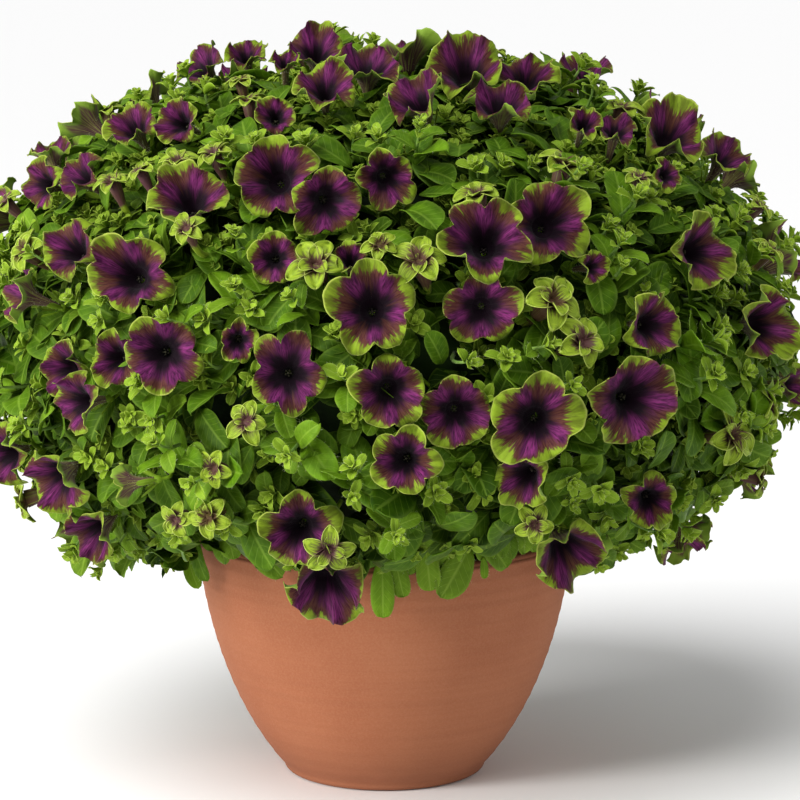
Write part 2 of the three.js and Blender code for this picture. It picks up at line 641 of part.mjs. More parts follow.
function smallBloomOn({ seat, across, number }) {
  const normal = moundNormal(seat);
  const lean = new THREE.Vector3(pick(number, 1) - 0.5, pick(number, 2) - 0.5, 0.6);
  const face = normal.clone().addScaledVector(lean, 0.6).normalize();
  const direction = seat.clone().sub(new THREE.Vector3(0, 0, MOUND_CENTRE_Z)).normalize();
  direction.z = Math.max(direction.z, ROOT_LOWEST);
  const foot = moundPoint(direction.normalize(), CORE_INSET + FOOT_DEPTH);
  return smallBloomSolid({ centre: seat, face, spin: 6 * pick(number, 3), radius: across / 2, foot });
}

function whorlOn(foot, normal, number, attempt) {
  const lean = new THREE.Vector3(pick(number, 1) - 0.5, pick(number, 2) - 0.5, 0.35);
  const face = normal.clone().addScaledVector(lean, 0.7).normalize();
  const height = CORE_INSET - 4 - 20 * pick(number, 3 + attempt);
  return whorlSolid({
    centre: foot.clone().addScaledVector(normal, height), face, spin: 6.283 * pick(number, 4 + attempt),
    radius: WHORL_RADIUS * between(0.9, 1.12, pick(number, 6)) * (1 - 0.07 * attempt),
    foot: foot.clone().addScaledVector(normal, -FOOT_DEPTH),
  });
}

function leafOn(foot, normal, number, attempt) {
  const [side, other] = crossAxes(normal, 6.283 * pick(number, 1 + attempt) + 1.3 * attempt);
  const steep = radians(between(24, 52, pick(number, 2)));
  const sag = new THREE.Vector3(0, 0, normal.z < 0.2 ? -0.45 : 0);
  const along = side.clone().multiplyScalar(Math.cos(steep)).addScaledVector(normal, Math.sin(steep)).add(sag);
  along.normalize();
  const face = normal.clone().addScaledVector(UP, 0.4).addScaledVector(other, 0.3 * (pick(number, 3) - 0.5));
  const size = between(0.86, 1.12, pick(number, 4));
  return leafSolid({
    foot: foot.clone().addScaledVector(normal, -0.5 * FOOT_DEPTH), along, face, length: LEAF_LENGTH * size + 14,
    width: LEAF_WIDTH * size, arch: LEAF_ARCH, fold: LEAF_FOLD,
  });
}

// A leaf of the hem, which hangs from the bush's underside over the pot's rim. Every other one hangs nearer the pot.
function hemLeafOn(number, attempt) {
  const inner = number % 2;
  const angle = (2 * Math.PI * (number + 0.3 * attempt)) / HEM_LEAVES;
  const outward = new THREE.Vector3(Math.cos(angle), Math.sin(angle), 0);
  const rise = HEM_FOOT_Z - 8 * inner + 12 * pick(number, 2) - MOUND_CENTRE_Z;
  const level = (-rise / (MOUND_HALF_HEIGHT - CORE_INSET)) ** MOUND_HEM_POWER;
  const foot = outward.clone().multiplyScalar((MOUND_RADIUS - CORE_INSET) * (1 - level) ** (1 / MOUND_HEM_POWER));
  foot.z = rise + MOUND_CENTRE_Z;
  const lean = between(0.35, 0.7, pick(number, 3 + attempt)) - 0.25 * inner - 0.1 * attempt;
  const aside = new THREE.Vector3(-outward.y, outward.x, 0).multiplyScalar(0.5 * (pick(number, 5) - 0.5));
  const along = outward.clone().multiplyScalar(lean).add(aside).addScaledVector(UP, -1).normalize();
  const size = between(0.85, 1.15, pick(number, 6)) * (1 - 0.06 * attempt);
  const room = (foot.z - hemHeight(1.08 * foot.x, 1.08 * foot.y) - 2) / -along.z;
  return leafSolid({
    foot: foot.addScaledVector(along, -HEM_LEAF_ROOT), along, face: outward.clone().addScaledVector(UP, 0.3),
    length: Math.min(HEM_LEAF_LENGTH * size, room + HEM_LEAF_ROOT), width: HEM_LEAF_WIDTH * size,
    arch: LEAF_ARCH, fold: LEAF_FOLD,
  });
}

// The hem's lowest height at a place: lower than its outline at the back and higher at the front, because the
// viewer looks down on it.
function hemHeight(x, y) {
  const after = HEM_OUTLINE.findIndex(([across]) => across > x);
  const [[x0, z0], [x1, z1]] = [HEM_OUTLINE[after - 1], HEM_OUTLINE[after]];
  return between(z0, z1, (x - x0) / (x1 - x0)) - VIEW_SLOPE * Math.min(y, 0);
}

// Clear of the pot's rim and wall, which the hem hangs round, and not below the hem.
function inBounds(solid) {
  const { vertProperties } = solid.getMesh();
  for (let i = 0; i < vertProperties.length; i += 3) {
    const [x, y, z] = vertProperties.slice(i, i + 3);
    if (z < hemHeight(x, y)) return false;
    if (z < POT_HEIGHT + 5 && Math.hypot(x, y) < POT_WIDEST_RADIUS + HEM_POT_GAP) return false;
  }
  return true;
}

function boxesMeet(a, b) {
  return [0, 1, 2].every((k) => a.min[k] < b.max[k] && b.min[k] < a.max[k]);
}

function leafyGrowth(sprays, blooms) {
  const boxed = (solid) => ({ solid, box: solid.boundingBox() });
  const keepOut = sprays.map((group) => boxed(spraySolid(group, 0.5)));
  const grownOut = [];
  const isClear = (piece) => {
    const box = piece.boundingBox();
    const misses = (guard) => !boxesMeet(box, guard.box) || piece.intersect(guard.solid).isEmpty();
    return inBounds(piece) && keepOut.every(misses) && grownOut.every(misses);
  };
  // Tries a piece in a few places and keeps the first that is clear.
  const growFrom = (make) => {
    for (let attempt = 0; attempt < GROWTH_ATTEMPTS; attempt += 1) {
      const piece = make(attempt);
      if (isClear(piece)) {
        grownOut.push(boxed(piece));
        return;
      }
    }
  };
  let core = coreSolid();
  for (const group of sprays) {
    core = core.subtract(knuckleSolid(group, FIT_GAP));
    const dips = group.map((bloom) => bloomSolid(bloom, rootOf(group).root, FIT_GAP));
    for (const dip of dips) {
      if (core.intersect(dip).volume() > 0.01) core = core.subtract(dip);
    }
  }
  const grown = [core];
  for (let i = 0; i < CROWNS; i += 1) grown.push(crownSolid(i, 0));
  for (const place of placeSmallBlooms(blooms)) {
    const bloom = smallBloomOn(place);
    if (isClear(bloom)) grownOut.push(boxed(bloom));
  }
  for (let i = 0; i < HEM_LEAVES; i += 1) growFrom((attempt) => hemLeafOn(i, attempt));
  for (let i = 0; i < LEAF_SPOTS; i += 1) {
    const foot = moundPoint(spreadDirection(i, LEAF_SPOTS), CORE_INSET);
    if (foot.z < CORE_BOTTOM_Z + 3) continue;
    const normal = moundNormal(foot);
    const make = i % LEAF_EVERY === 0 ? leafOn : whorlOn;
    growFrom((attempt) => make(foot, normal, i, attempt));
  }
  return largestBody(wasm.Manifold.union([...grown, ...grownOut.map((piece) => piece.solid)]));
}

// ------------------------------------------------------------------ the whole

const part = new THREE.Group();
const blooms = placeBlooms();
const sprays = shareStalks(blooms);

part.add(namedMesh('pot', potSolid(), 'terracotta'));
part.add(namedMesh('potting_mix', soilSolid(), 'soil'));
part.add(namedMesh('leafy_growth', leafyGrowth(sprays, blooms), 'foliage'));
sprays.forEach((group, i) => {
  const number = String(i + 1).padStart(2, '0');
  part.add(namedMesh(`bloom_spray_${number}`, largestBody(spraySolid(group, 0)), 'petals'));
});

export default part;
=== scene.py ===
# %% [markdown]
# # A mounded petunia in a terracotta pot
#
# The real object is a bushy annual in a rounded clay bowl. Its dome is made of three things: trumpet blooms with a
# dark throat and a lime edge, leafy shoot tips between them, and larger leaves below. This lesson builds each of
# them once, as a small formula, and then grows many of them over one dome, with repeatable random choices.

# %% Load the frame
import math

import bpy
import numpy as np
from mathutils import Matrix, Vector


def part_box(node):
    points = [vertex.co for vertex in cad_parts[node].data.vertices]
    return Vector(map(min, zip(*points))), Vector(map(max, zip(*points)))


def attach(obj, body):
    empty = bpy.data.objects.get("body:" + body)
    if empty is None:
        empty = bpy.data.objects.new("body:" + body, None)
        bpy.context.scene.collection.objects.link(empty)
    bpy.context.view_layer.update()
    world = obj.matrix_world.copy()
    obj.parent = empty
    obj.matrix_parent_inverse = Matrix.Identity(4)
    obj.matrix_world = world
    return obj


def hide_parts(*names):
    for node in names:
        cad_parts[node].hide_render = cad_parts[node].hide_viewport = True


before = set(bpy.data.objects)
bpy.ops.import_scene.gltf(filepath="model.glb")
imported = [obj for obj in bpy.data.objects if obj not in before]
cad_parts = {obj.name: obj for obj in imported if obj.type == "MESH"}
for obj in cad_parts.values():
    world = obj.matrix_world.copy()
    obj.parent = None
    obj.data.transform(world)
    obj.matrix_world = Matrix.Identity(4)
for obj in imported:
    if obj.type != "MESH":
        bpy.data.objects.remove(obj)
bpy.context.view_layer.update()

# %% [markdown]
# ## Camera, floor and light
#
# The photograph looks slightly down on the bush from far away, so its lines hardly converge. A long lens at two and a
# half metres gives the same picture. The light there is soft and comes from the upper left, so one large lamp stands
# on that side and two weaker ones fill the shade.

# %% Camera
MM = 0.001
VIEWER = np.array([12.0, -2480.0, 701.0])
VIEWER_AIM = np.array([12.0, 0.0, 289.0])
VIEW_PER_PIXEL = 3.061e-4
VIEW_CENTRE_PIXEL = 400
SENSOR = 36.0


def unit(vector):
    return vector / np.linalg.norm(vector)


scene = bpy.context.scene
camera_data = bpy.data.cameras.new("camera")
camera_data.sensor_width = SENSOR
camera_data.lens = SENSOR / (2 * VIEW_CENTRE_PIXEL * VIEW_PER_PIXEL)
camera_data.clip_end = 20
camera = bpy.data.objects.new("camera", camera_data)
scene.collection.objects.link(camera)
camera.location = VIEWER * MM
pitch = math.atan2(VIEWER[2] - VIEWER_AIM[2], VIEWER_AIM[1] - VIEWER[1])
camera.rotation_euler = (math.pi / 2 - pitch, 0, 0)
scene.camera = camera
print("camera: lens %.0f mm, looking %.1f degrees down" % (camera_data.lens, math.degrees(pitch)))


# %% Lamps and surroundings
def lamp(name, place, aim, size, power, colour):
    data = bpy.data.lights.new(name, "AREA")
    data.shape = "DISK"
    data.size = size
    data.energy = power
    data.color = colour
    lamp_object = bpy.data.objects.new(name, data)
    scene.collection.objects.link(lamp_object)
    lamp_object.location = place
    back = unit(np.array(place) - np.array(aim))
    yaw = math.atan2(back[0], -back[1])
    lamp_object.rotation_euler = (math.acos(back[2]), 0, yaw)


lamp("key_lamp", (-2.3, -1.5, 1.0), (0, 0, 0.28), 1.0, 70, (1.0, 0.985, 0.95))
lamp("rim_lamp", (2.2, 0.3, 0.5), (0, 0, 0.2), 0.8, 7, (1.0, 0.98, 0.95))

sun_data = bpy.data.lights.new("roof_light", "SUN")
sun_data.energy = 2.7
sun_data.angle = 0.7
sun = bpy.data.objects.new("roof_light", sun_data)
scene.collection.objects.link(sun)
sun.rotation_euler = (math.radians(30), math.radians(-20), 0)

world = bpy.data.worlds.new("studio")
scene.world = world
world.use_nodes = True
world.node_tree.nodes["Background"].inputs["Color"].default_value = (1.0, 1.0, 1.0, 1)
world.node_tree.nodes["Background"].inputs["Strength"].default_value = 0.40
scene.view_settings.view_transform = "Standard"
scene.view_settings.look = "None"

# %% [markdown]
# ## Turning arrays into meshes
#
# Thousands of leaves and petals are quick to make as arrays of numbers, because one formula then shapes them all at
# once. The helper below takes such arrays, in millimetres, and makes one mesh in metres. It also stores named values
# on the points, such as how far along its leaf a point lies, and the materials read those later. Every piece then
# rides on the one body, and the solid that it stands for is hidden.


# %% Mesh helpers
def mesh_object(name, points, quads, values=None):
    mesh = bpy.data.meshes.new(name)
    mesh.vertices.add(len(points))
    mesh.vertices.foreach_set("co", (np.asarray(points, dtype=np.float32) * MM).ravel())
    mesh.loops.add(len(quads) * 4)
    mesh.loops.foreach_set("vertex_index", np.asarray(quads, dtype=np.int32).ravel())
    mesh.polygons.add(len(quads))
    mesh.polygons.foreach_set("loop_start", np.arange(0, len(quads) * 4, 4, dtype=np.int32))
    mesh.update(calc_edges=True)
    mesh.shade_smooth()
    for key, numbers in (values or {}).items():
        layer = mesh.attributes.new(key, "FLOAT", "POINT")
        layer.data.foreach_set("value", np.asarray(numbers, dtype=np.float32).ravel())
    mesh.validate()
    piece = bpy.data.objects.new(name, mesh)
    scene.collection.objects.link(piece)
    return piece


def grid_quads(rows, columns, closed=False):
    """The four corners of each cell of a grid of points, row by row; `closed` joins the last column to the first."""
    across = columns if closed else columns - 1
    row = np.arange(rows - 1)[:, None] * columns
    here = np.arange(across)[None, :]
    beside = (here + 1) % columns
    return np.stack([row + here, row + beside, row + columns + beside, row + columns + here], axis=-1).reshape(-1, 4)


def gather(parts):
    """Joins (points, quads, values) parts into one."""
    points, quads, values, start = [], [], {}, 0
    for part_points, part_quads, part_values in parts:
        points.append(part_points)
        quads.append(part_quads + start)
        start += len(part_points)
        for key, numbers in part_values.items():
            values.setdefault(key, []).append(numbers)
    return np.concatenate(points), np.concatenate(quads), {k: np.concatenate(v) for k, v in values.items()}


def thicken(piece, thickness, back_slot=0):
    """Gives a sheet a real thickness behind its face; `back_slot` may give the back another material."""
    solid = piece.modifiers.new("thickness", "SOLIDIFY")
    solid.thickness = thickness * MM
    solid.offset = -1
    solid.material_offset = back_slot
    bpy.context.view_layer.objects.active = piece
    piece.select_set(True)
    bpy.ops.object.modifier_apply(modifier=solid.name)
    piece.select_set(False)


def finish_piece(piece, slot, *nodes):
    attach(piece, "root")
    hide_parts(*nodes)


def make_piece(name, parts, finish, slot, node, thickness=0):
    """Joins parts into one piece in one finish; sheets also get their thickness."""
    points, quads, values = gather(parts)
    piece = mesh_object(name, points, quads, values)
    piece.data.materials.append(finish.material)
    if thickness:
        thicken(piece, thickness)
    finish_piece(piece, slot, node)
    return piece


# %% [markdown]
# ## Nodes for the materials
#
# Every finish here is a small tree of nodes. The helpers keep those trees readable: `stored` reads a stored value,
# `plus`, `less` and `times` reckon with two values, `span` turns a range of values into another range, `blend` mixes
# two colours, and `stretched` gives noise a place to grow in that is longer one way than another.


# %% Material helpers
class Finish:
    def __init__(self, name, roughness, sheen=0.0, specular=0.5):
        self.material = bpy.data.materials.new(name)
        self.material.use_nodes = True
        self.tree = self.material.node_tree
        self.shader = self.tree.nodes["Principled BSDF"]
        self.shader.inputs["Roughness"].default_value = roughness
        self.shader.inputs["Sheen Weight"].default_value = sheen
        self.shader.inputs["Specular IOR Level"].default_value = specular

    def put(self, socket, value):
        if isinstance(value, bpy.types.NodeSocket):
            self.tree.links.new(value, socket)
        elif isinstance(value, tuple) and len(value) == 3 and len(socket.default_value) == 4:
            socket.default_value = (*value, 1)
        else:
            socket.default_value = value

    def stored(self, key):
        node = self.tree.nodes.new("ShaderNodeAttribute")
        node.attribute_name = key
        return node.outputs["Fac"]

    def place(self):
        node = self.tree.nodes.new("ShaderNodeTexCoord")
        return node.outputs["Object"]

    def maths(self, operation, first, second=0.0):
        node = self.tree.nodes.new("ShaderNodeMath")
        node.operation = operation
        for socket, value in zip(node.inputs, (first, second)):
            self.put(socket, value)
        return node.outputs[0]

    def plus(self, first, second):
        return self.maths("ADD", first, second)

    def less(self, first, second):
        return self.maths("SUBTRACT", first, second)

    def times(self, first, second):
        return self.maths("MULTIPLY", first, second)

    def swing(self, value, amount):
        """How far a value lies from one half, times a number."""
        return self.times(self.less(value, 0.5), amount)

    def span(self, value, low, high, new_low=0.0, new_high=1.0):
        node = self.tree.nodes.new("ShaderNodeMapRange")
        node.interpolation_type = "SMOOTHSTEP"
        for key, number in zip(("Value", "From Min", "From Max", "To Min", "To Max"),
                               (value, low, high, new_low, new_high)):
            self.put(node.inputs[key], number)
        return node.outputs[0]

    def blend(self, factor, first, second):
        node = self.tree.nodes.new("ShaderNodeMix")
        node.data_type = "RGBA"
        self.put(node.inputs[0], factor)
        self.put(node.inputs[6], first)
        self.put(node.inputs[7], second)
        return node.outputs[2]

    def vector(self, x, y, z):
        node = self.tree.nodes.new("ShaderNodeCombineXYZ")
        for socket, value in zip(node.inputs, (x, y, z)):
            self.put(socket, value)
        return node.outputs[0]

    def stretched(self, *pairs):
        """A place made of three values, each times a number."""
        return self.vector(*[self.times(value, number) for value, number in pairs])

    def noise(self, where, scale, detail=2.0, roughness=0.5):
        node = self.tree.nodes.new("ShaderNodeTexNoise")
        self.put(node.inputs["Vector"], where)
        node.inputs["Scale"].default_value = scale
        node.inputs["Detail"].default_value = detail
        node.inputs["Roughness"].default_value = roughness
        return node.outputs["Fac"]

    def bump(self, height, distance, strength=1.0):
        node = self.tree.nodes.new("ShaderNodeBump")
        node.inputs["Strength"].default_value = strength
        node.inputs["Distance"].default_value = distance * MM
        self.put(node.inputs["Height"], height)
        self.put(self.shader.inputs["Normal"], node.outputs[0])

    def colour(self, value):
        self.put(self.shader.inputs["Base Color"], value)

    def rough(self, value):
        self.put(self.shader.inputs["Roughness"], value)


# %% [markdown]
# ## Petal finishes
#
# A petunia's face is velvety. Near the throat it is almost black, then violet with fine radial streaks, and at the
# edge it turns lime green through a feathered brown. The green is widest at the lobe tips, so the face shows a star,
# and the violet is painted brighter between the lobes, which is a painted highlight on the raised pleats there. Dark
# lines along the folds are painted shade. Stored values carry this: `reach` runs from the throat to the rim, `lobe`
# is 1 along the middle of a lobe and 0 between lobes, and `turn` counts round the bloom, so that noise stretched
# along `reach` draws the streaks.

# %% Petal face
petal_face = Finish("petal_face", 0.62, sheen=0.04, specular=0.10)
reach, lobe, turn, tone = [petal_face.stored(key) for key in ("reach", "lobe", "turn", "tone")]
streaks = petal_face.noise(petal_face.stretched((turn, 2.4), (reach, 0.55), (tone, 9.0)), 3.2, 3.0, 0.6)
fine_streaks = petal_face.noise(petal_face.stretched((turn, 8.0), (reach, 1.2), (tone, 5.0)), 3.4, 2.0, 0.6)
patches = petal_face.noise(petal_face.stretched((turn, 0.8), (reach, 0.9), (tone, 31.0)), 1.6, 1.0, 0.5)
lobe_middle = petal_face.span(lobe, 0.15, 0.98)
# The pale streaks are the petal's own colour; making them brighter between the lobes, on the raised pleats, is a
# painted highlight.
streak_and_highlight_share = petal_face.times(petal_face.span(streaks, 0.34, 0.66, 0.20, 1.0),
                                petal_face.less(1.0, petal_face.times(lobe_middle, 0.62)))
purple = petal_face.blend(streak_and_highlight_share, (0.036, 0.003, 0.027), (0.178, 0.022, 0.124))
purple = petal_face.blend(petal_face.span(fine_streaks, 0.45, 0.68, 0.0, 0.78), purple, (0.016, 0.001, 0.012))
# Dark lines along the middle of each lobe and between the lobes are painted shade in the folds.
painted_fold_shade = petal_face.maths("MAXIMUM", petal_face.span(lobe, 0.975, 0.998, 0.0, 0.60),
                              petal_face.span(lobe, 0.0, 0.09, 0.45, 0.0))
purple = petal_face.blend(painted_fold_shade, purple, (0.022, 0.002, 0.014))
throat = petal_face.less(petal_face.less(reach, petal_face.swing(streaks, 0.5)), petal_face.times(lobe_middle, 0.13))
purple = petal_face.blend(petal_face.span(throat, 0.22, 0.53, 1.0, 0.0), purple, (0.005, 0.0006, 0.004))

# %% The feathered green edge
shift = petal_face.plus(petal_face.swing(streaks, -0.46), petal_face.swing(tone, 0.22))
shift = petal_face.plus(shift, petal_face.swing(patches, -0.45))
shift = petal_face.plus(shift, petal_face.swing(fine_streaks, -0.44))
edge_start = petal_face.plus(petal_face.less(1.045, petal_face.times(lobe_middle, 0.25)), shift)
past_edge = petal_face.less(reach, edge_start)
past_brown = petal_face.plus(past_edge, petal_face.times(lobe_middle, 0.17))
brown = petal_face.blend(petal_face.span(fine_streaks, 0.35, 0.65), (0.086, 0.034, 0.013), (0.042, 0.007, 0.010))
purple = petal_face.blend(petal_face.span(past_brown, -0.26, 0.03, 0.0, 0.90), purple, brown)
lime = petal_face.blend(petal_face.span(streaks, 0.35, 0.65), (0.084, 0.113, 0.006), (0.174, 0.262, 0.012))
lime = petal_face.blend(petal_face.span(reach, 0.97, 1.03, 0.0, 0.60), lime, (0.370, 0.430, 0.080))
petal_face.colour(petal_face.blend(petal_face.span(past_edge, -0.06, 0.08), purple, lime))
petal_face.bump(petal_face.plus(fine_streaks, petal_face.times(streaks, 0.8)), 0.5, 0.6)
petal_face.rough(petal_face.span(streaks, 0.2, 0.8, 0.72, 0.52))
print("petal face:", len(petal_face.tree.nodes), "nodes")

# %% [markdown]
# The outside of the trumpet is plainer. The back of the limb is a dull olive mauve, and the tube is brown purple with
# pale green stripes. It shares the stored values, so its stripes run along the tube without any unwrapping.

# %% Petal back and tube
petal_back = Finish("petal_back", 0.66, sheen=0.06, specular=0.2)
reach, lobe, turn, tone = [petal_back.stored(key) for key in ("reach", "lobe", "turn", "tone")]
stripes = petal_back.noise(petal_back.stretched((turn, 5.5), (reach, 0.7), (tone, 7.0)), 2.6, 2.0, 0.55)
tube = petal_back.blend(petal_back.span(stripes, 0.42, 0.62), (0.055, 0.014, 0.026), (0.160, 0.150, 0.040))
limb = petal_back.blend(petal_back.span(stripes, 0.38, 0.64), (0.085, 0.026, 0.040), (0.145, 0.150, 0.036))
back = petal_back.blend(petal_back.span(reach, 0.25, 0.60), tube, limb)
green_from = petal_back.span(lobe, 0.0, 1.0, 0.86, 0.62)
green_share = petal_back.span(petal_back.less(reach, green_from), -0.12, 0.10)
petal_back.colour(petal_back.blend(green_share, back, (0.200, 0.320, 0.032)))
petal_back.bump(stripes, 0.5, 0.5)
petal_back.rough(petal_back.span(stripes, 0.2, 0.8, 0.72, 0.58))
print("petal back:", len(petal_back.tree.nodes), "nodes")

# %% [markdown]
# ## Leaf finishes
#
# A petunia leaf is soft green with a paler midrib and side veins, and limier the younger it is. A lighter band along
# its edge is a painted highlight, and a leaf that sits deeper in the bush is darkened, which is painted shade.
# `along` and `across` are a point's place on its leaf, `young` is its age and `tone` differs from leaf to leaf. The
# side veins are bands of `along` that bend forward with `across`.


# %% Leaf finish
def leaf_finish(name, old, fresh, lime_tip):
    finish = Finish(name, 0.55, sheen=0.0, specular=0.08)
    along, across, young, tone = [finish.stored(key) for key in ("along", "across", "young", "tone")]
    aside = finish.maths("ABSOLUTE", across)
    mottle = finish.noise(finish.place(), 120.0, 3.0, 0.6)
    freshness = finish.plus(finish.times(tone, 0.7), finish.span(mottle, 0.3, 0.7, -0.15, 0.35))
    green = finish.blend(young, finish.blend(freshness, old, fresh), lime_tip)
    # Leaves that sit deep in the bush are blended towards near black: painted shade.
    green = finish.blend(finish.stored("painted_shade"), green, (0.010, 0.030, 0.001))
    swept = finish.less(finish.times(along, 7.0), finish.times(aside, 1.7))
    band = finish.maths("ABSOLUTE", finish.less(finish.maths("FRACT", swept), 0.5))
    vein = finish.span(band, 0.40, 0.50, 0.0, 0.24)
    rib = finish.span(aside, 0.02, 0.14, 0.38, 0.0)
    # The lighter band along the edge, stronger on young leaves, is a painted highlight; the paler midrib and veins are
    # the leaf's own colour.
    edge = finish.times(finish.span(aside, 0.78, 1.0), finish.plus(finish.times(young, 0.3), 0.25))
    veins_and_edge_highlight = finish.maths("MAXIMUM", finish.maths("MAXIMUM", vein, rib), edge)
    finish.colour(finish.blend(veins_and_edge_highlight, green, finish.blend(young, (0.200, 0.330, 0.036), (0.430, 0.540, 0.090))))
    finish.bump(finish.less(finish.times(mottle, 0.6), finish.plus(vein, rib)), 0.6, 0.7)
    finish.rough(finish.span(mottle, 0.25, 0.75, 0.60, 0.44))
    return finish


leaf_green = leaf_finish("leaf_green", (0.034, 0.092, 0.002), (0.108, 0.222, 0.006), (0.240, 0.365, 0.024))
print("leaf green:", len(leaf_green.tree.nodes), "nodes")

# %% [markdown]
# The small half-open blooms are lime too, but the crease of each rolled lobe is brown purple, more so towards its
# base. Their finish reads the same stored values as a leaf.

# %% Green bloom finish
green_bloom = Finish("green_bloom", 0.55, sheen=0.03, specular=0.2)
along, across, tone = [green_bloom.stored(key) for key in ("along", "across", "tone")]
lime_streaks = green_bloom.noise(green_bloom.vector(
    green_bloom.times(across, 3.0), along, green_bloom.times(tone, 20.0)), 3.0, 2.0, 0.6)
lime = green_bloom.blend(green_bloom.span(lime_streaks, 0.22, 0.78), (0.130, 0.205, 0.008), (0.275, 0.380, 0.020))
lime = green_bloom.blend(green_bloom.span(across, 0.88, 1.0, 0.0, 0.6), lime, (0.470, 0.560, 0.120))
feathered = green_bloom.plus(along, green_bloom.swing(lime_streaks, 0.9))
crease = green_bloom.times(green_bloom.span(feathered, 0.34, 0.74, 1.0, 0.0), 0.92)
dusky = green_bloom.blend(tone, (0.060, 0.016, 0.012), (0.085, 0.012, 0.045))
green_bloom.colour(green_bloom.blend(crease, lime, dusky))
green_bloom.bump(lime_streaks, 0.4, 0.6)
green_bloom.rough(green_bloom.span(lime_streaks, 0.2, 0.8, 0.66, 0.50))
print("green bloom:", len(green_bloom.tree.nodes), "nodes")


# %% Stems, stalks and the dark inside
def stem_finish(name, dark, light, hairs=(0.300, 0.400, 0.130)):
    finish = Finish(name, 0.7, sheen=0.05, specular=0.12)
    fibres = finish.noise(finish.place(), 260.0, 3.0, 0.6)
    patches = finish.noise(finish.place(), 28.0, 2.0, 0.5)
    colour = finish.blend(finish.span(patches, 0.35, 0.65), dark, light)
    finish.colour(finish.blend(finish.span(fibres, 0.45, 0.75, 0.0, 0.4), colour, hairs))
    finish.bump(fibres, 0.4, 0.8)
    return finish


stem_green = stem_finish("stem_green", (0.080, 0.165, 0.020), (0.160, 0.270, 0.045))
# The near-black finish of the body inside the bush is painted shade.
inside_painted_shade = stem_finish("inside_painted_shade", (0.003, 0.009, 0.001), (0.010, 0.026, 0.002), (0.014, 0.034, 0.003))
fine_hair = stem_finish("fine_hair", (0.400, 0.480, 0.220), (0.560, 0.620, 0.360), (0.700, 0.740, 0.520))
print("stems:", len(stem_green.tree.nodes), "nodes")

# %% [markdown]
# ## The pot
#
# The pot is thrown clay: a wall that leans out less and less, a soft rounded lip and a flat foot with drain holes.
# It could be dressed by giving the CAD solid a finish, but that one has flat facets, so a finer turned shape with the
# same wall takes its place. Very shallow rings round it are the marks of the potter's fingers.

# %% Pot outline
POT_HEIGHT = 190
POT_WIDEST_RADIUS = 147.5
POT_WIDEST_Z = 225
POT_ARC_HALF_HEIGHT = 260
POT_WALL = 9
POT_FLOOR = 12
POT_FOOT_BEVEL = 5
DRAIN_HOLES = 4
DRAIN_RADIUS = 7
DRAIN_CIRCLE_RADIUS = 45
POT_SIDES = 180
WALL_ROWS = 70
BOTTOM_INNER_RING = 40
ON_AXIS = 0.01


def pot_radius(z):
    return POT_WIDEST_RADIUS * np.sqrt(1 - ((POT_WIDEST_Z - z) / POT_ARC_HALF_HEIGHT) ** 2)


def arc(centre, radius, start, end, count):
    angles = np.radians(np.linspace(start, end, count))
    return np.stack([centre[0] + radius * np.cos(angles), centre[1] + radius * np.sin(angles)], axis=1)


def turned(outline, sides):
    """A shape turned about the vertical axis from (radius, height) points, closed where they meet the axis."""
    angle = np.linspace(0, 2 * math.pi, sides, endpoint=False)
    ring = np.stack([np.cos(angle), np.sin(angle)], axis=1)
    points = np.empty((len(outline), sides, 3))
    points[:, :, :2] = outline[:, 0, None, None] * ring[None]
    points[:, :, 2] = outline[:, 1, None]
    return points, grid_quads(len(outline), sides, closed=True)


lip_radius = POT_WALL / 2
lip_centre_z = POT_HEIGHT - lip_radius
levels = np.linspace(POT_FOOT_BEVEL, lip_centre_z, WALL_ROWS)
throwing = 0.16 * np.sin(levels * 0.55) + 0.10 * np.sin(levels * 1.27 + 1)
wall = np.stack([pot_radius(levels) + throwing, levels], axis=1)
foot = arc((pot_radius(POT_FOOT_BEVEL) - POT_FOOT_BEVEL, POT_FOOT_BEVEL), POT_FOOT_BEVEL, -90, -8, 7)
lip = arc((pot_radius(lip_centre_z) - lip_radius, lip_centre_z), lip_radius, 0, 180, 13)
inner_levels = np.linspace(POT_HEIGHT - 6, POT_FLOOR + 8, 16)
inner_wall = np.stack([pot_radius(inner_levels) - POT_WALL, inner_levels], axis=1)
inner_floor = np.array([[pot_radius(POT_FLOOR) - POT_WALL - 6, POT_FLOOR], [BOTTOM_INNER_RING, POT_FLOOR],
                        [ON_AXIS, POT_FLOOR]])
outline = np.concatenate([[[ON_AXIS, 0], [BOTTOM_INNER_RING, 0]], foot, wall, lip, inner_wall, inner_floor])
pot_points, pot_quads = turned(outline, POT_SIDES)
angle = np.arctan2(pot_points[:, :, 1], pot_points[:, :, 0])
uneven = 0.25 * np.sin(3 * angle + 0.02 * pot_points[:, :, 2]) + 0.15 * np.sin(7 * angle + 1)
on_wall = np.clip(pot_points[:, :, 2] / 20, 0, 1)
pot_points[:, :, :2] *= (1 + uneven * on_wall / POT_WIDEST_RADIUS)[:, :, None]
print("pot outline:", len(outline), "points, rim", round(2 * pot_radius(POT_HEIGHT)), "mm across")

# %% [markdown]
# Terracotta is never one colour. This finish has a broad drift of tone, fine grain, a few darker and paler specks
# and faint turned bands. The foot is painted slightly darker, which is painted shade. The grain is also relief, so
# the clay stays matte.

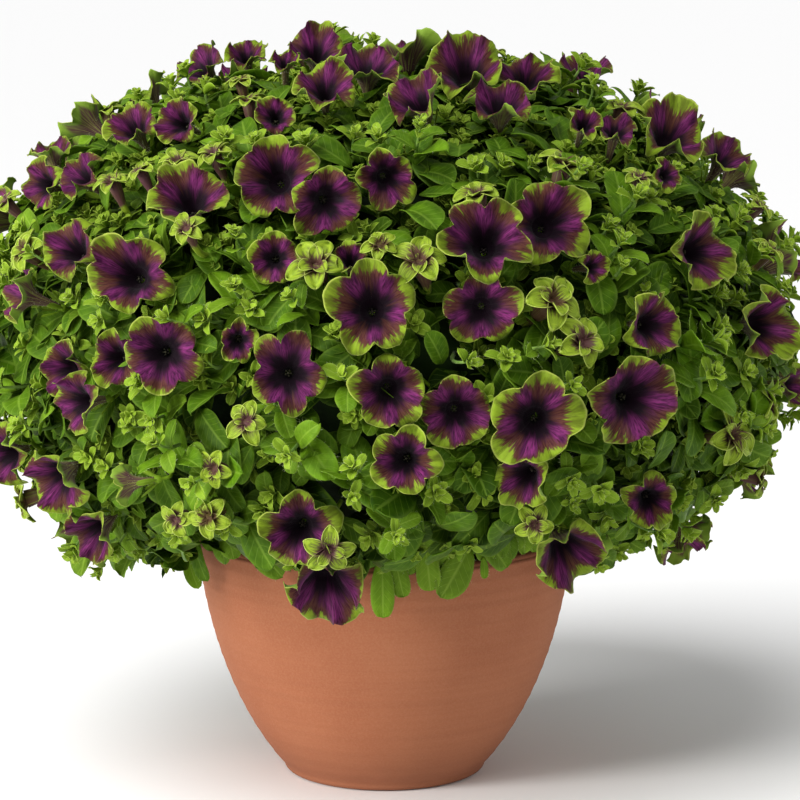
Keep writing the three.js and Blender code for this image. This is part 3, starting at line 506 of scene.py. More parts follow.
# %% Clay finish
clay = Finish("clay", 0.85, specular=0.25)
where = clay.place()
height = clay.tree.nodes.new("ShaderNodeSeparateXYZ")
clay.put(height.inputs[0], where)
level = height.outputs["Z"]
drift = clay.noise(where, 7.0, 3.0, 0.55)
grain = clay.noise(where, 650.0, 4.0, 0.65)
specks = clay.noise(where, 900.0, 2.0, 0.5)
bands = clay.noise(clay.vector(0.0, 0.0, level), 170.0, 3.0, 0.6)
body = clay.blend(clay.span(drift, 0.3, 0.7), (0.306, 0.101, 0.046), (0.372, 0.136, 0.065))
body = clay.blend(clay.span(bands, 0.35, 0.7, 0.0, 0.38), body, (0.284, 0.096, 0.045))
body = clay.blend(clay.span(grain, 0.35, 0.75, 0.0, 0.18), body, (0.510, 0.234, 0.128))
body = clay.blend(clay.span(specks, 0.66, 0.74, 0.0, 0.5), body, (0.250, 0.105, 0.060))
# The foot is darkened towards the floor: painted shade.
body = clay.blend(clay.span(level, 0.0, 0.055, 0.42, 0.0), body, (0.245, 0.094, 0.050))
clay.colour(body)
clay.bump(clay.plus(clay.times(grain, 0.6), clay.times(bands, 0.9)), 0.35, 0.50)
clay.rough(clay.span(grain, 0.2, 0.8, 0.92, 0.76))

# %% Make the pot
pot = mesh_object("pot_body", pot_points.reshape(-1, 3), pot_quads)
pot.data.materials.append(clay.material)
CUTTER_OVERLAP = 8
CUTTER_SIDES = 32
cutters = []
for i in range(DRAIN_HOLES):
    around = 2 * math.pi * (i + 0.5) / DRAIN_HOLES
    below, above = -CUTTER_OVERLAP, POT_FLOOR + CUTTER_OVERLAP
    hole_outline = np.array([[ON_AXIS, below], [DRAIN_RADIUS, below], [DRAIN_RADIUS, above], [ON_AXIS, above]])
    hole_points, hole_quads = turned(hole_outline, CUTTER_SIDES)
    hole_points[:, :, 0] += DRAIN_CIRCLE_RADIUS * math.cos(around)
    hole_points[:, :, 1] += DRAIN_CIRCLE_RADIUS * math.sin(around)
    cutters.append((hole_points.reshape(-1, 3), hole_quads, {}))
cutter_points, cutter_quads, _ = gather(cutters)
cutter = mesh_object("drain_cutter", cutter_points, cutter_quads)
for sheet in (pot, cutter):
    weld = sheet.modifiers.new("weld", "WELD")
    weld.merge_threshold = 0.05 * MM
drain = pot.modifiers.new("drain", "BOOLEAN")
drain.object = cutter
drain.solver = "EXACT"
bpy.context.view_layer.objects.active = pot
for modifier in list(pot.modifiers):
    bpy.ops.object.modifier_apply(modifier=modifier.name)
bpy.data.objects.remove(cutter)
finish_piece(pot, "terracotta", "pot")
print("pot:", len(pot.data.polygons), "faces")

# %% [markdown]
# ## The potting mix
#
# Hardly any of it can be seen, but a plant stands in something. It fills the pot and has a lumpy top, in a dark brown
# finish with paler bits of bark and grit.

# %% Soil
SOIL_TOP = 168
SOIL_GAP = 1.2
SOIL_RINGS = 60
SOIL_SIDES = 120
soil_finish = Finish("soil_finish", 0.95, specular=0.2)
clods = soil_finish.noise(soil_finish.place(), 90.0, 4.0, 0.7)
bits = soil_finish.noise(soil_finish.place(), 330.0, 2.0, 0.5)
brown = soil_finish.blend(soil_finish.span(clods, 0.3, 0.7), (0.020, 0.012, 0.008), (0.075, 0.046, 0.028))
soil_finish.colour(soil_finish.blend(soil_finish.span(bits, 0.66, 0.72), brown, (0.300, 0.240, 0.170)))
soil_finish.bump(clods, 3.0, 1.0)
soil_finish.rough(soil_finish.span(clods, 0.2, 0.8, 1.0, 0.85))

soil_edge = pot_radius(SOIL_TOP - 3) - POT_WALL - SOIL_GAP
rings = np.linspace(soil_edge, ON_AXIS, SOIL_RINGS)
soil_outline = np.concatenate([
    [[ON_AXIS, POT_FLOOR + 0.5], [pot_radius(POT_FLOOR) - POT_WALL - 7.5, POT_FLOOR + 0.5]],
    [[pot_radius(z) - POT_WALL - SOIL_GAP, z] for z in np.linspace(POT_FLOOR + 9, SOIL_TOP - 4, 12)],
    np.stack([rings, np.full(SOIL_RINGS, float(SOIL_TOP))], axis=1)])
soil_points, soil_quads = turned(soil_outline, SOIL_SIDES)
x, y, z = soil_points[:, :, 0], soil_points[:, :, 1], soil_points[:, :, 2]
lumps = (1.7 * np.sin(0.21 * x + 1) * np.cos(0.17 * y) + 0.9 * np.sin(0.33 * (x - y))
         + 0.6 * np.sin(0.9 * x + 0.4 * y) * np.cos(0.8 * y - 0.3 * x))
soil_points[:, :, 2] += np.where(z > SOIL_TOP - 1, lumps, 0)
soil = mesh_object("potting_mix_top", soil_points.reshape(-1, 3), soil_quads)
soil.data.materials.append(soil_finish.material)
finish_piece(soil, "potting_mix", "potting_mix")
print("soil:", len(soil.data.polygons), "faces")

# %% [markdown]
# ## The dome, and where each bloom sits on it
#
# The bush is close to a squashed ball that is a little boxier below. The blooms on the front were read from the
# photograph one by one: each row below is where the middle of a bloom is seen, its size, which way it faces and how
# deep it sits. A sight line through that place then finds the point on the dome. The back isn't in the photograph,
# so evenly spread places fill it, with repeatable random choices.

# %% The dome
MOUND_CENTRE_Z = 353
MOUND_RADIUS = 318
MOUND_HALF_HEIGHT = 210
MOUND_TOP_POWER = 2.1
MOUND_HEM_POWER = 2.7
MOUND_LOWEST_Z = 148
CORE_INSET = 46
GOLDEN_ANGLE = math.pi * (3 - math.sqrt(5))
MOUND_CENTRE = np.array([0.0, 0.0, MOUND_CENTRE_Z])
UP = np.array([0.0, 0.0, 1.0])
VIEW_NEAR, VIEW_FAR, VIEW_STEP = 2050, 2700, 2
FRONT_LIMIT = 0.1


def pick(i, k):
    """A repeatable number from 0 to 1 for the k-th property of the i-th thing."""
    value = math.sin(i * 12.9898 + k * 78.233) * 43758.5453
    return value - math.floor(value)


def mound_power(z):
    return MOUND_TOP_POWER if z > MOUND_CENTRE_Z else MOUND_HEM_POWER


def mound_level(point):
    power = mound_power(point[2])
    radial = math.hypot(point[0], point[1]) / MOUND_RADIUS
    return radial ** power + (abs(point[2] - MOUND_CENTRE_Z) / MOUND_HALF_HEIGHT) ** power


def mound_normal(point):
    power = mound_power(point[2])
    radius = math.hypot(point[0], point[1])
    radial = (radius / MOUND_RADIUS) ** (power - 1) / MOUND_RADIUS
    height = point[2] - MOUND_CENTRE_Z
    upright = np.sign(height) * (abs(height) / MOUND_HALF_HEIGHT) ** (power - 1) / MOUND_HALF_HEIGHT
    share = radial / radius if radius > 0 else 0.0
    return unit(np.array([point[0] * share, point[1] * share, upright]))


def mound_point(direction, inset=0.0):
    power = MOUND_TOP_POWER if direction[2] > 0 else MOUND_HEM_POWER
    radial = math.hypot(direction[0], direction[1]) / (MOUND_RADIUS - inset)
    upright = abs(direction[2]) / (MOUND_HALF_HEIGHT - inset)
    return MOUND_CENTRE + direction * (radial ** power + upright ** power) ** (-1 / power)


def spread_direction(i, count):
    height = 1 - 2 * (i + 0.5) / count
    flat = math.sqrt(1 - height * height)
    return np.array([flat * math.cos(i * GOLDEN_ANGLE), flat * math.sin(i * GOLDEN_ANGLE), height])


def view_line(column, row):
    """The direction in which the camera sees a pixel of the photograph."""
    forward = unit(VIEWER_AIM - VIEWER)
    right = np.array([1.0, 0.0, 0.0])
    return unit(forward + right * (column - VIEW_CENTRE_PIXEL) * VIEW_PER_PIXEL
                + np.cross(right, forward) * (VIEW_CENTRE_PIXEL - row) * VIEW_PER_PIXEL)


def seen_point(column, row):
    """The point of the dome that a pixel shows, or the nearest one to its sight line."""
    line = view_line(column, row)
    nearest, lowest = None, math.inf
    for along in range(VIEW_NEAR, VIEW_FAR, VIEW_STEP):
        point = VIEWER + line * along
        level = mound_level(point)
        if level < lowest:
            nearest, lowest = point, level
        if level < 1:
            break
    return mound_point(nearest - MOUND_CENTRE)


def facing(turn, lift):
    """The direction of a face that is turned to the right and lifted up by so many degrees."""
    turn, lift = math.radians(turn), math.radians(lift)
    return np.array([math.cos(lift) * math.sin(turn), -math.cos(lift) * math.cos(turn), math.sin(lift)])


def on_the_front(point, normal):
    return float(np.dot(unit(VIEWER - point), normal)) > FRONT_LIMIT


def cross_axes(axis, spin):
    helper = UP if abs(axis[2]) < 0.9 else np.array([1.0, 0.0, 0.0])
    side = unit(np.cross(helper, axis))
    side = side * math.cos(spin) + np.cross(axis, side) * math.sin(spin)
    return side, np.cross(axis, side)


# %% [markdown]
# These rows repeat the ones that the solids were built from, so a bloom here lies exactly where its solid lies.

# %% Rows of blooms read from the photograph
# Each row: photo column, photo row, size across in mm, turn and lift of the face in degrees, depth in mm.
FRONT_BLOOMS = [
    (193, 55, 44, -50, 45, 0), (246, 56, 34, -10, 55, 0), (285, 62, 26, 0, 60, 2), (315, 50, 46, 0, 50, 0),
    (85, 120, 44, -110, 35, 0), (133, 126, 41, -30, 45, 0), (180, 123, 35, -30, 20, 0), (52, 153, 37, -60, 75, 0),
    (44, 185, 42, -45, 10, 0), (82, 177, 40, -50, 35, 0), (275, 177, 64, -8, 18, 0), (190, 197, 61, -5, 45, 0),
    (325, 88, 46, 0, 48, 0), (368, 66, 56, 5, 68, 0), (415, 97, 52, -40, 50, 0), (468, 65, 68, 0, 50, 0),
    (525, 72, 53, 0, 52, 4), (500, 98, 57, 0, 62, 4), (328, 203, 54, 10, 0, 8), (390, 180, 45, 10, 0, 14),
    (275, 112, 32, 0, 30, 10), (590, 65, 43, 10, 68, 0), (583, 125, 30, 10, 40, 0), (614, 134, 35, 15, 55, 0),
    (672, 132, 63, 25, 45, 0), (725, 157, 44, 45, 50, 0), (672, 172, 27, 30, 20, 12), (72, 248, 50, -35, 30, 0),
    (131, 275, 63, -15, 15, 0), (25, 295, 42, -75, 20, 0), (275, 258, 37, 0, 10, 14), (163, 353, 59, -5, 5, 0),
    (52, 368, 43, -40, 5, 12), (108, 360, 43, -20, 5, 14), (78, 403, 51, -45, 0, 0), (237, 343, 33, 0, 0, 12),
    (288, 373, 64, 0, 8, 0), (350, 252, 28, 0, 40, 10), (484, 243, 66, 0, 25, -8), (372, 308, 70, 0, 15, 0),
    (482, 312, 56, 0, 0, 16), (390, 392, 55, 5, 0, 4), (458, 415, 52, 5, 0, 14), (548, 222, 64, 10, 18, 0),
    (603, 266, 26, 40, 10, 14), (700, 250, 57, 40, 10, 0), (653, 325, 50, 35, 5, 3), (630, 398, 68, 20, 5, -5),
    (767, 325, 60, 40, 5, 0), (792, 386, 38, 60, 0, 0), (5, 455, 51, -40, -5, 0), (55, 480, 57, -40, -20, 0),
    (92, 535, 49, -40, -25, 0), (115, 485, 36, -100, -10, 10), (405, 460, 51, -5, 5, -4), (300, 530, 60, -5, -5, 0),
    (325, 590, 65, 0, -35, 0), (535, 420, 67, 0, 5, -6), (523, 478, 48, -30, -15, 2), (570, 556, 63, 25, -30, 0),
    (650, 500, 46, 10, -5, 0),
]
# Each row: photo column, photo row, size across in mm.
FRONT_SMALL_BLOOMS = [
    (112, 178, 25), (140, 168, 22), (177, 157, 28), (212, 150, 26), (248, 97, 24), (240, 78, 22), (477, 190, 30),
    (623, 104, 28), (567, 158, 38), (640, 175, 22), (762, 203, 24), (22, 248, 32), (195, 237, 24), (315, 262, 36),
    (419, 257, 36), (380, 243, 22), (556, 298, 40), (585, 340, 36), (772, 247, 24), (214, 468, 24), (175, 520, 24),
    (207, 517, 28), (246, 420, 28), (332, 537, 30), (535, 525, 26), (738, 435, 40), (775, 403, 34),
]

# %% Place the purple blooms
BLOOM_MIN, BLOOM_MAX = 42, 64
BLOOM_SPACING = 74
BLOOM_SPOTS = 520
BLOOM_LOWEST_Z = MOUND_LOWEST_Z + 24
BLOOM_RISE = 6
BLOOM_LEAN = 0.7
TUBE_LENGTH = 34
TUBE_LEFT = 7


class Bloom:
    def __init__(self, seat, face, across, sink, number):
        self.centre = seat + face * (BLOOM_RISE - sink)
        self.face = face
        self.across = across
        self.tube = TUBE_LENGTH - 0.7 * sink
        self.spin = 2 * math.pi * pick(number, 5)
        self.number = number
        # How deep the throat lies under the rim; the tube must have some length left behind it.
        self.depth = min((0.54 + 0.36 * pick(number, 17)) * across / 2, self.tube - TUBE_LEFT)


blooms = [Bloom(seen_point(column, row), facing(turn, lift), across, sink, i)
          for i, (column, row, across, turn, lift, sink) in enumerate(FRONT_BLOOMS)]
for i in range(BLOOM_SPOTS):
    seat = mound_point(spread_direction(i, BLOOM_SPOTS))
    normal = mound_normal(seat)
    number = len(FRONT_BLOOMS) + i
    clear = all(np.linalg.norm(bloom.centre - seat) > BLOOM_SPACING for bloom in blooms)
    if seat[2] > BLOOM_LOWEST_Z and clear and not on_the_front(seat, normal):
        lean = np.array([pick(number, 1) - 0.5, pick(number, 2) - 0.5, 0.3 * pick(number, 3)])
        across = BLOOM_MIN + (BLOOM_MAX - BLOOM_MIN) * pick(number, 4)
        blooms.append(Bloom(seat, unit(normal + BLOOM_LEAN * lean), across, 10 * pick(number, 6), number))
print("purple blooms:", len(blooms), "of which read from the photograph:", len(FRONT_BLOOMS))

# %% [markdown]
# Neighbouring blooms share a stem. Starting each time from the bloom with the fewest free neighbours keeps any bloom
# from being left far from the others.

# %% Share the stems
BLOOMS_PER_STALK = 3
STALK_REACH = 100
ROOT_RISE = 9
ROOT_LOWEST = -0.42
BOX_SLACK = 0.002
bloom_centres = np.array([bloom.centre for bloom in blooms])
gaps = np.linalg.norm(bloom_centres[:, None] - bloom_centres[None], axis=2)
free = list(range(len(blooms)))
sprays = []


def near(one):
    others = [other for other in free if other != one and gaps[one, other] < STALK_REACH]
    return sorted(others, key=lambda other: gaps[one, other])


while free:
    loneliest = min(free, key=lambda one: len(near(one)))
    group = [loneliest] + near(loneliest)[:BLOOMS_PER_STALK - 1]
    free = [one for one in free if one not in group]
    sprays.append([blooms[one] for one in group])


def root_of(group):
    """Where a spray's stalks meet, and the outward direction there."""
    direction = unit(sum(bloom.centre for bloom in group) / len(group) - MOUND_CENTRE)
    direction[2] = max(direction[2], ROOT_LOWEST)
    foot_point = mound_point(unit(direction), CORE_INSET)
    outward = mound_normal(foot_point)
    return foot_point + outward * ROOT_RISE, outward


spray_nodes = ["bloom_spray_%02d" % (i + 1) for i in range(len(sprays))]
missing = [name for name in spray_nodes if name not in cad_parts]
middles = [np.mean([bloom.centre for bloom in group], axis=0) * MM for group in sprays]
outside = []
for name, middle in zip(spray_nodes, middles):
    low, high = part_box(name)
    if any(middle[k] < low[k] - BOX_SLACK or middle[k] > high[k] + BOX_SLACK for k in range(3)):
        outside.append(name)
print("sprays:", len(sprays), "nodes not found:", missing, "middles outside their node:", outside)

# %% [markdown]
# ## One trumpet
#
# The bloom is one sheet: a narrow tube that flares into a five-lobed limb. It could be five separate petals, but a
# petunia's are fused, so the sheet is one grid of points, rings by spokes. The lobes pull the rim in between them,
# ruffles wave it, each lobe has a fold along its middle, and its tip curls back.

# %% Trumpet sheet
SPOKES = 72
LIMB_START = 0.38
TUBE_RINGS, LIMB_RINGS = 6, 19
LOBES = 5
LIMB = np.array([  # share of the limb from throat to rim, share of the bloom's radius, share of its depth
    (0.00, 0.22, -1.00), (0.12, 0.28, -0.82), (0.28, 0.39, -0.63), (0.48, 0.56, -0.42), (0.68, 0.75, -0.23),
    (0.86, 0.92, -0.08), (1.00, 1.03, -0.01)])
RINGS = np.concatenate([np.linspace(0, LIMB_START, TUBE_RINGS + 1)[:-1],
                        LIMB_START + (1 - LIMB_START) * np.linspace(0, 1, LIMB_RINGS)])


def trumpet(bloom):
    """The sheet of one bloom, from the base of its tube to the edge of its limb."""
    radius = bloom.across / 2
    seed = bloom.number
    theta = np.linspace(0, 2 * math.pi, SPOKES, endpoint=False)[None, :]
    along = RINGS[:, None]
    tube_share = np.clip(along / LIMB_START, 0, 1)
    limb_share = np.clip((along - LIMB_START) / (1 - LIMB_START), 0, 1)
    neck = LIMB[0, 1] * radius
    in_tube = along < LIMB_START
    ring_radius = np.where(in_tube, 1.0 + (neck - 1.0) * (0.35 * tube_share ** 0.4 + 0.65 * tube_share ** 2.6),
                           radius * np.interp(limb_share, LIMB[:, 0], LIMB[:, 1]))
    ring_height = np.where(in_tube, -bloom.tube + (bloom.tube - bloom.depth) * tube_share,
                           bloom.depth * np.interp(limb_share, LIMB[:, 0], LIMB[:, 2]))
    # Each lobe has its own strength of curl and its own length.
    lobe_phase = np.abs(np.cos(2.5 * theta))
    lobe_number = np.round(theta * LOBES / (2 * math.pi)).astype(int) % LOBES
    curl = np.array([pick(seed, 50 + k) for k in range(LOBES)])[lobe_number]
    length = np.array([pick(seed, 60 + k) for k in range(LOBES)])[lobe_number]
    point = np.exp(-((1 - lobe_phase) / 0.03) ** 2)
    # Some blooms are nearly round and some are stars; the gap between two lobes folds forward.
    starry = pick(seed, 25)
    notch = (1 - lobe_phase) ** (1.5 - 0.4 * starry)
    edge = 1.02 - (0.22 + 0.22 * starry) * notch + 0.03 * point + 0.16 * (length - 0.5) * lobe_phase
    waves = sum(share * np.sin(count * theta + 2 * math.pi * pick(seed, 20 + count))
                for share, count in ((0.45, 3), (0.45, 6), (0.55, 9), (0.30, 13)))
    height = ring_height + radius * (
        0.105 * limb_share ** 2.2 * waves
        + 0.13 * limb_share ** 1.5 * np.cos(2 * theta + 6 * pick(seed, 18)) * (0.3 + pick(seed, 19))
        - (0.06 + 0.40 * curl) * limb_share ** 3.6 * lobe_phase ** 1.3
        + (0.06 + 0.16 * pick(seed, 26)) * limb_share ** 2 * notch
        + 0.060 * limb_share * np.sin(5 * theta) ** 2
        - 0.040 * limb_share * point
        + 0.024 * limb_share ** 6 * np.sin(23 * theta + 6 * pick(seed, 15)))
    spread = ring_radius * (1 + (edge - 1) * limb_share ** 1.5) * (1 - 0.12 * curl * lobe_phase * limb_share ** 5)
    angle = theta + 0.035 * limb_share ** 2 * np.sin(7 * theta + 6 * pick(seed, 14))
    side, other = cross_axes(bloom.face, bloom.spin)
    flatten = 1 - 0.20 * pick(seed, 24) * limb_share
    points = (bloom.centre + (spread * np.cos(angle))[..., None] * side
              + (spread * flatten * np.sin(angle))[..., None] * other
              + height[..., None] * bloom.face)
    ones = np.ones_like(height)
    values = {
        "reach": (ring_radius / radius * ones).ravel(),
        "lobe": (lobe_phase * ones).ravel(),
        "turn": (LOBES * theta / (2 * math.pi) * ones).ravel(),
        "tone": (pick(seed, 16) * ones).ravel(),
    }
    return points.reshape(-1, 3), grid_quads(len(RINGS), SPOKES, closed=True), values


print("one trumpet:", len(RINGS) * SPOKES, "points")

# %% [markdown]
# Inside the throat stand five stamens round one style. They are small, so a thin turned stem with a knob is enough.
# Behind the bloom, five narrow sepals hold the base of the tube, and a stalk bends back to the shared stem.


# %% Rods, stamens and sepals
def rod(path, radii, sides=7):
    """A round rod along a path of points, with a radius at each."""
    path = np.asarray(path, dtype=float)
    radii = np.asarray(radii, dtype=float)
    ahead = np.gradient(path, axis=0)
    ahead /= np.linalg.norm(ahead, axis=1)[:, None]
    side, _ = cross_axes(ahead[0], 0.0)
    rows = []
    around = np.linspace(0, 2 * math.pi, sides, endpoint=False)
    for point, direction, radius in zip(path, ahead, radii):
        side = unit(side - direction * np.dot(side, direction))
        other = np.cross(direction, side)
        rows.append(point + radius * (np.cos(around)[:, None] * side + np.sin(around)[:, None] * other))
    rows = [np.repeat(path[:1], sides, axis=0)] + rows + [np.repeat(path[-1:], sides, axis=0)]
    quads = grid_quads(len(rows), sides, closed=True)[:, ::-1]
    return np.concatenate(rows), quads


def bend(start, leave, end, count):
    """A curved path that leaves `start` in a direction and arrives at `end`."""
    reach = np.linalg.norm(end - start)
    middle = start + leave * reach * 0.45
    share = np.linspace(0, 1, count)[:, None]
    return (1 - share) ** 2 * start + 2 * share * (1 - share) * middle + share ** 2 * end


STAMENS = 5


def stamens(bloom):
    """Five stamens round one style, which is a little longer and has a larger knob."""
    side, other = cross_axes(bloom.face, bloom.spin)
    parts = []
    for i in range(STAMENS + 1):
        is_style = i == STAMENS
        around = 2 * math.pi * i / STAMENS
        away = (0 if is_style else 1) * (math.cos(around) * side + math.sin(around) * other)
        base = bloom.centre - bloom.face * (bloom.tube - 2)
        tip_height = bloom.depth + (3.0 if is_style else 5.0)
        top = bloom.centre - bloom.face * tip_height + away * 1.9
        path = base + (top - base) * np.linspace(0, 1, 7)[:, None]
        knob = 0.9 if is_style else 0.7
        points, quads = rod(np.vstack([path, top + bloom.face * 1.0, top + bloom.face * 1.6]),
                            [0.4, 0.4, 0.4, 0.4, 0.4, 0.45, knob, knob, 0.3], 6)
        parts.append((points, quads, {}))
    return parts


# %% [markdown]
# ## One leaf, many times
#
# A leaf is a small grid: rows along it and columns across it. Its width follows a curve that is widest before the
# middle, its two halves fold up a little from the midrib, and it arches down towards its tip. The function takes
# whole lists of leaves, so that thousands are shaped by one calculation.

# %% Leaf sheets
def leaves(roots, alongs, ups, lengths, widths, folds, arches, youngs, seeds, painted_shades, rows, columns):
    """Sheets for lists of leaves; each has a root, a direction, an upper side, a size, a fold, an arch and an age."""
    roots, alongs, ups = [np.asarray(a, dtype=float) for a in (roots, alongs, ups)]
    lengths, widths, folds, arches, youngs, seeds, painted_shades = [
        np.asarray(a, dtype=float)[:, None, None] for a in (lengths, widths, folds, arches, youngs, seeds, painted_shades)]
    alongs = alongs / np.linalg.norm(alongs, axis=1)[:, None]
    sides = np.cross(ups, alongs)
    sides /= np.linalg.norm(sides, axis=1)[:, None]
    normals = np.cross(alongs, sides)
    share = 1 - (1 - np.linspace(0, 1, rows)[None, :, None]) ** 1.6
    across = np.linspace(-1, 1, columns)[None, None, :]
    outline = np.clip(share, 0, 1) ** 0.66 * np.clip(1 - share, 0, 1) ** 0.39
    outline = outline / outline.max() + 0.06 * (1 - share)
    half = 0.5 * widths * outline
    wobble = np.sin(seeds * 7.3 + share * 9 + np.sign(across) * 1.3) * np.abs(across) ** 2
    sideways = half * across * (1 - 0.16 * folds)
    lift = half * np.abs(across) ** 1.3 * folds + 0.075 * widths * wobble * share
    droop = arches * lengths * (share ** 1.1 - 1.7 * share ** 2.3)
    twist = 0.35 * np.sin(seeds * 3.7) * share
    out = lengths * share * (1 - 0.12 * np.abs(arches) * share)
    turned_side = sideways * np.cos(twist) - lift * np.sin(twist)
    turned_lift = sideways * np.sin(twist) + lift * np.cos(twist) + droop
    points = (roots[:, None, None, :] + (out * np.ones_like(across))[..., None] * alongs[:, None, None, :]
              + turned_side[..., None] * sides[:, None, None, :] + turned_lift[..., None] * normals[:, None, None, :])
    count = len(roots)
    cells = grid_quads(rows, columns)
    quads = (cells[None] + (np.arange(count) * rows * columns)[:, None, None]).reshape(-1, 4)
    ones = np.ones((count, rows, columns))
    values = {"along": (share * ones).ravel(), "across": (across * ones).ravel(),
              "young": (np.clip(youngs, 0, 1) * ones).ravel(), "painted_shade": (painted_shades * ones).ravel(),
              "tone": ((seeds * 0.6180339 % 1.0) * ones).ravel()}
    return points.reshape(-1, 3), quads, values


# %% [markdown]
# ## Hairs
#
# A petunia is downy: short soft hairs stand on its stalks, tubes and leaf edges, and give it a pale outline against
# the light. Each hair is a three-sided needle, made as plain geometry rather than particles. They could be
# particles, but plain needles also print and export.

# %% Hairs
HAIR_RADIUS = 0.07
TUBE_HAIRS = 110
TUBE_HAIR_LENGTH = 1.7
hair_random = np.random.default_rng(11)


def hairs(roots, outwards, length):
    """Needles that stand on the roots, each with its own length and a little astray."""
    count = len(roots)
    outwards = outwards / np.linalg.norm(outwards, axis=1)[:, None] + hair_random.normal(0, 0.22, (count, 3))
    helper = np.cross(outwards, hair_random.normal(0, 1, (count, 3)))
    helper /= np.linalg.norm(helper, axis=1)[:, None]
    other = np.cross(outwards, helper)
    tips = roots + outwards * (length * hair_random.uniform(0.6, 1.3, count))[:, None]
    rows = []
    for start, thick in ((roots, HAIR_RADIUS), (tips, 0.2 * HAIR_RADIUS)):
        for turn in (0, 2 * math.pi / 3, 4 * math.pi / 3):
            rows.append(start + thick * (math.cos(turn) * helper + math.sin(turn) * other))
    points = np.stack(rows, axis=1).reshape(-1, 3)
    quads = (grid_quads(2, 3, closed=True)[None] + (6 * np.arange(count))[:, None, None]).reshape(-1, 4)
    return points, quads, {}


def tube_hairs(bloom, points):
    """Hairs on the outside of a tube and of the lower funnel."""
    rings = points.reshape(len(RINGS), SPOKES, 3)
    row = hair_random.integers(1, 11, TUBE_HAIRS)
    spoke = hair_random.integers(0, SPOKES, TUBE_HAIRS)
    roots = rings[row, spoke]
    middles = rings[row].mean(axis=1)
    return hairs(roots + 0.3 * (roots - middles) / np.linalg.norm(roots - middles, axis=1)[:, None],
                 roots - middles - 0.3 * bloom.face, TUBE_HAIR_LENGTH)


def edge_hairs(points, rows, columns, chosen, length):
    """Hairs along both edges of the chosen leaves."""
    grid = points.reshape(-1, rows, columns, 3)[chosen]
    middle = grid[:, 1:-2, columns // 2]
    roots, outwards = [], []
    for column in (0, columns - 1):
        slide = hair_random.uniform(0, 1, (len(grid), rows - 3, 1))
        edge = grid[:, 1:-2, column] * (1 - slide) + grid[:, 2:-1, column] * slide
        ahead = grid[:, 2:-1, column] - grid[:, 1:-2, column]
        roots.append(edge)
        outwards.append((edge - middle) / (np.linalg.norm(edge - middle, axis=2)[..., None] + 0.01)
                        + 0.6 * ahead / (np.linalg.norm(ahead, axis=2)[..., None] + 0.01))
    return hairs(np.concatenate(roots).reshape(-1, 3), np.concatenate(outwards).reshape(-1, 3), length)


# %% [markdown]
# ## Making the sprays
#
# Each spray is four pieces, because it has as many finishes: the petals, with their velvety face and striped back, the
# green sepals and stalks, the hairs on the tubes, and the stamens. All stand where the spray's solid stands.

# %% Make every spray
PETAL_THICKNESS = 0.45
SEPALS = 5
# The stamens are coloured near black, which is painted shade deep in the throat.
stamen_finish = stem_finish("stamen_painted_shade", (0.014, 0.009, 0.009), (0.045, 0.045, 0.024), (0.070, 0.065, 0.030))


def sepals(bloom):
    side, other = cross_axes(bloom.face, bloom.spin + 0.6)
    base = bloom.centre - bloom.face * (bloom.tube + 1.5)
    length = min(14 + 3 * pick(bloom.number, 18), 0.9 * (bloom.tube - bloom.depth) + 3)
    angles = 2 * math.pi * (np.arange(SEPALS) + 0.5) / SEPALS
    away = np.cos(angles)[:, None] * side + np.sin(angles)[:, None] * other
    width, fold, arch, young, painted_shade = [np.full(SEPALS, value) for value in (4.6, 0.5, -0.10, 0.45, 0.0)]
    seeds = bloom.number * 5.0 + np.arange(SEPALS)
    return leaves(base + away * 2.4, bloom.face + away * 0.78, -away, np.full(SEPALS, length), width, fold, arch,
                  young, seeds, painted_shade, rows=7, columns=5)


petal_faces = 0
for name, group in zip(spray_nodes, sprays):
    sheets = [trumpet(bloom) for bloom in group]
    points, quads, values = gather(sheets)
    petals = mesh_object(name.replace("spray", "petals"), points, quads[:, ::-1], values)
    petals.data.materials.append(petal_face.material)
    petals.data.materials.append(petal_back.material)
    thicken(petals, PETAL_THICKNESS, back_slot=1)
    finish_piece(petals, "petals", name)
    petal_faces += len(petals.data.polygons)

    root, outward = root_of(group)
    green_parts = [sepals(bloom) for bloom in group]
    rods = []
    for bloom in group:
        start = bloom.centre - bloom.face * (bloom.tube - 1)
        cup = bloom.centre - bloom.face * (bloom.tube + 3)
        path = np.vstack([start, cup, bend(cup - bloom.face, -bloom.face, root, 10)])
        rods.append(rod(path, [3.4, 2.6] + list(np.linspace(1.15, 1.5, 10))))
    rods.append(rod([root + outward * 3, root - outward * 10, root - outward * 22], [1.6, 1.9, 2.1]))
    for rod_points, rod_quads in rods:
        blank = np.zeros(len(rod_points))
        green_parts.append((rod_points, rod_quads, {
            "along": blank, "across": blank + 0.5, "young": blank + 0.35, "painted_shade": blank, "tone": blank + 0.5}))
    make_piece(name.replace("spray", "stalks"), green_parts, leaf_green, "foliage", name)

    down = [tube_hairs(bloom, sheet[0]) for bloom, sheet in zip(group, sheets)]
    make_piece(name.replace("spray", "hairs"), down, fine_hair, "foliage", name)

    pollen = [part for bloom in group for part in stamens(bloom)]
    make_piece(name.replace("spray", "stamens"), pollen, stamen_finish, "petals", name)
print("petal faces:", petal_faces)

# %% [markdown]
# ## Small half-open blooms
#
# Between the purple ones are many small blooms that are still lime green. Their lobes are rolled lengthwise and stand
# in two rounds over a short tube. Rolled lobes are strongly folded leaves, so the leaf sheet makes them too.

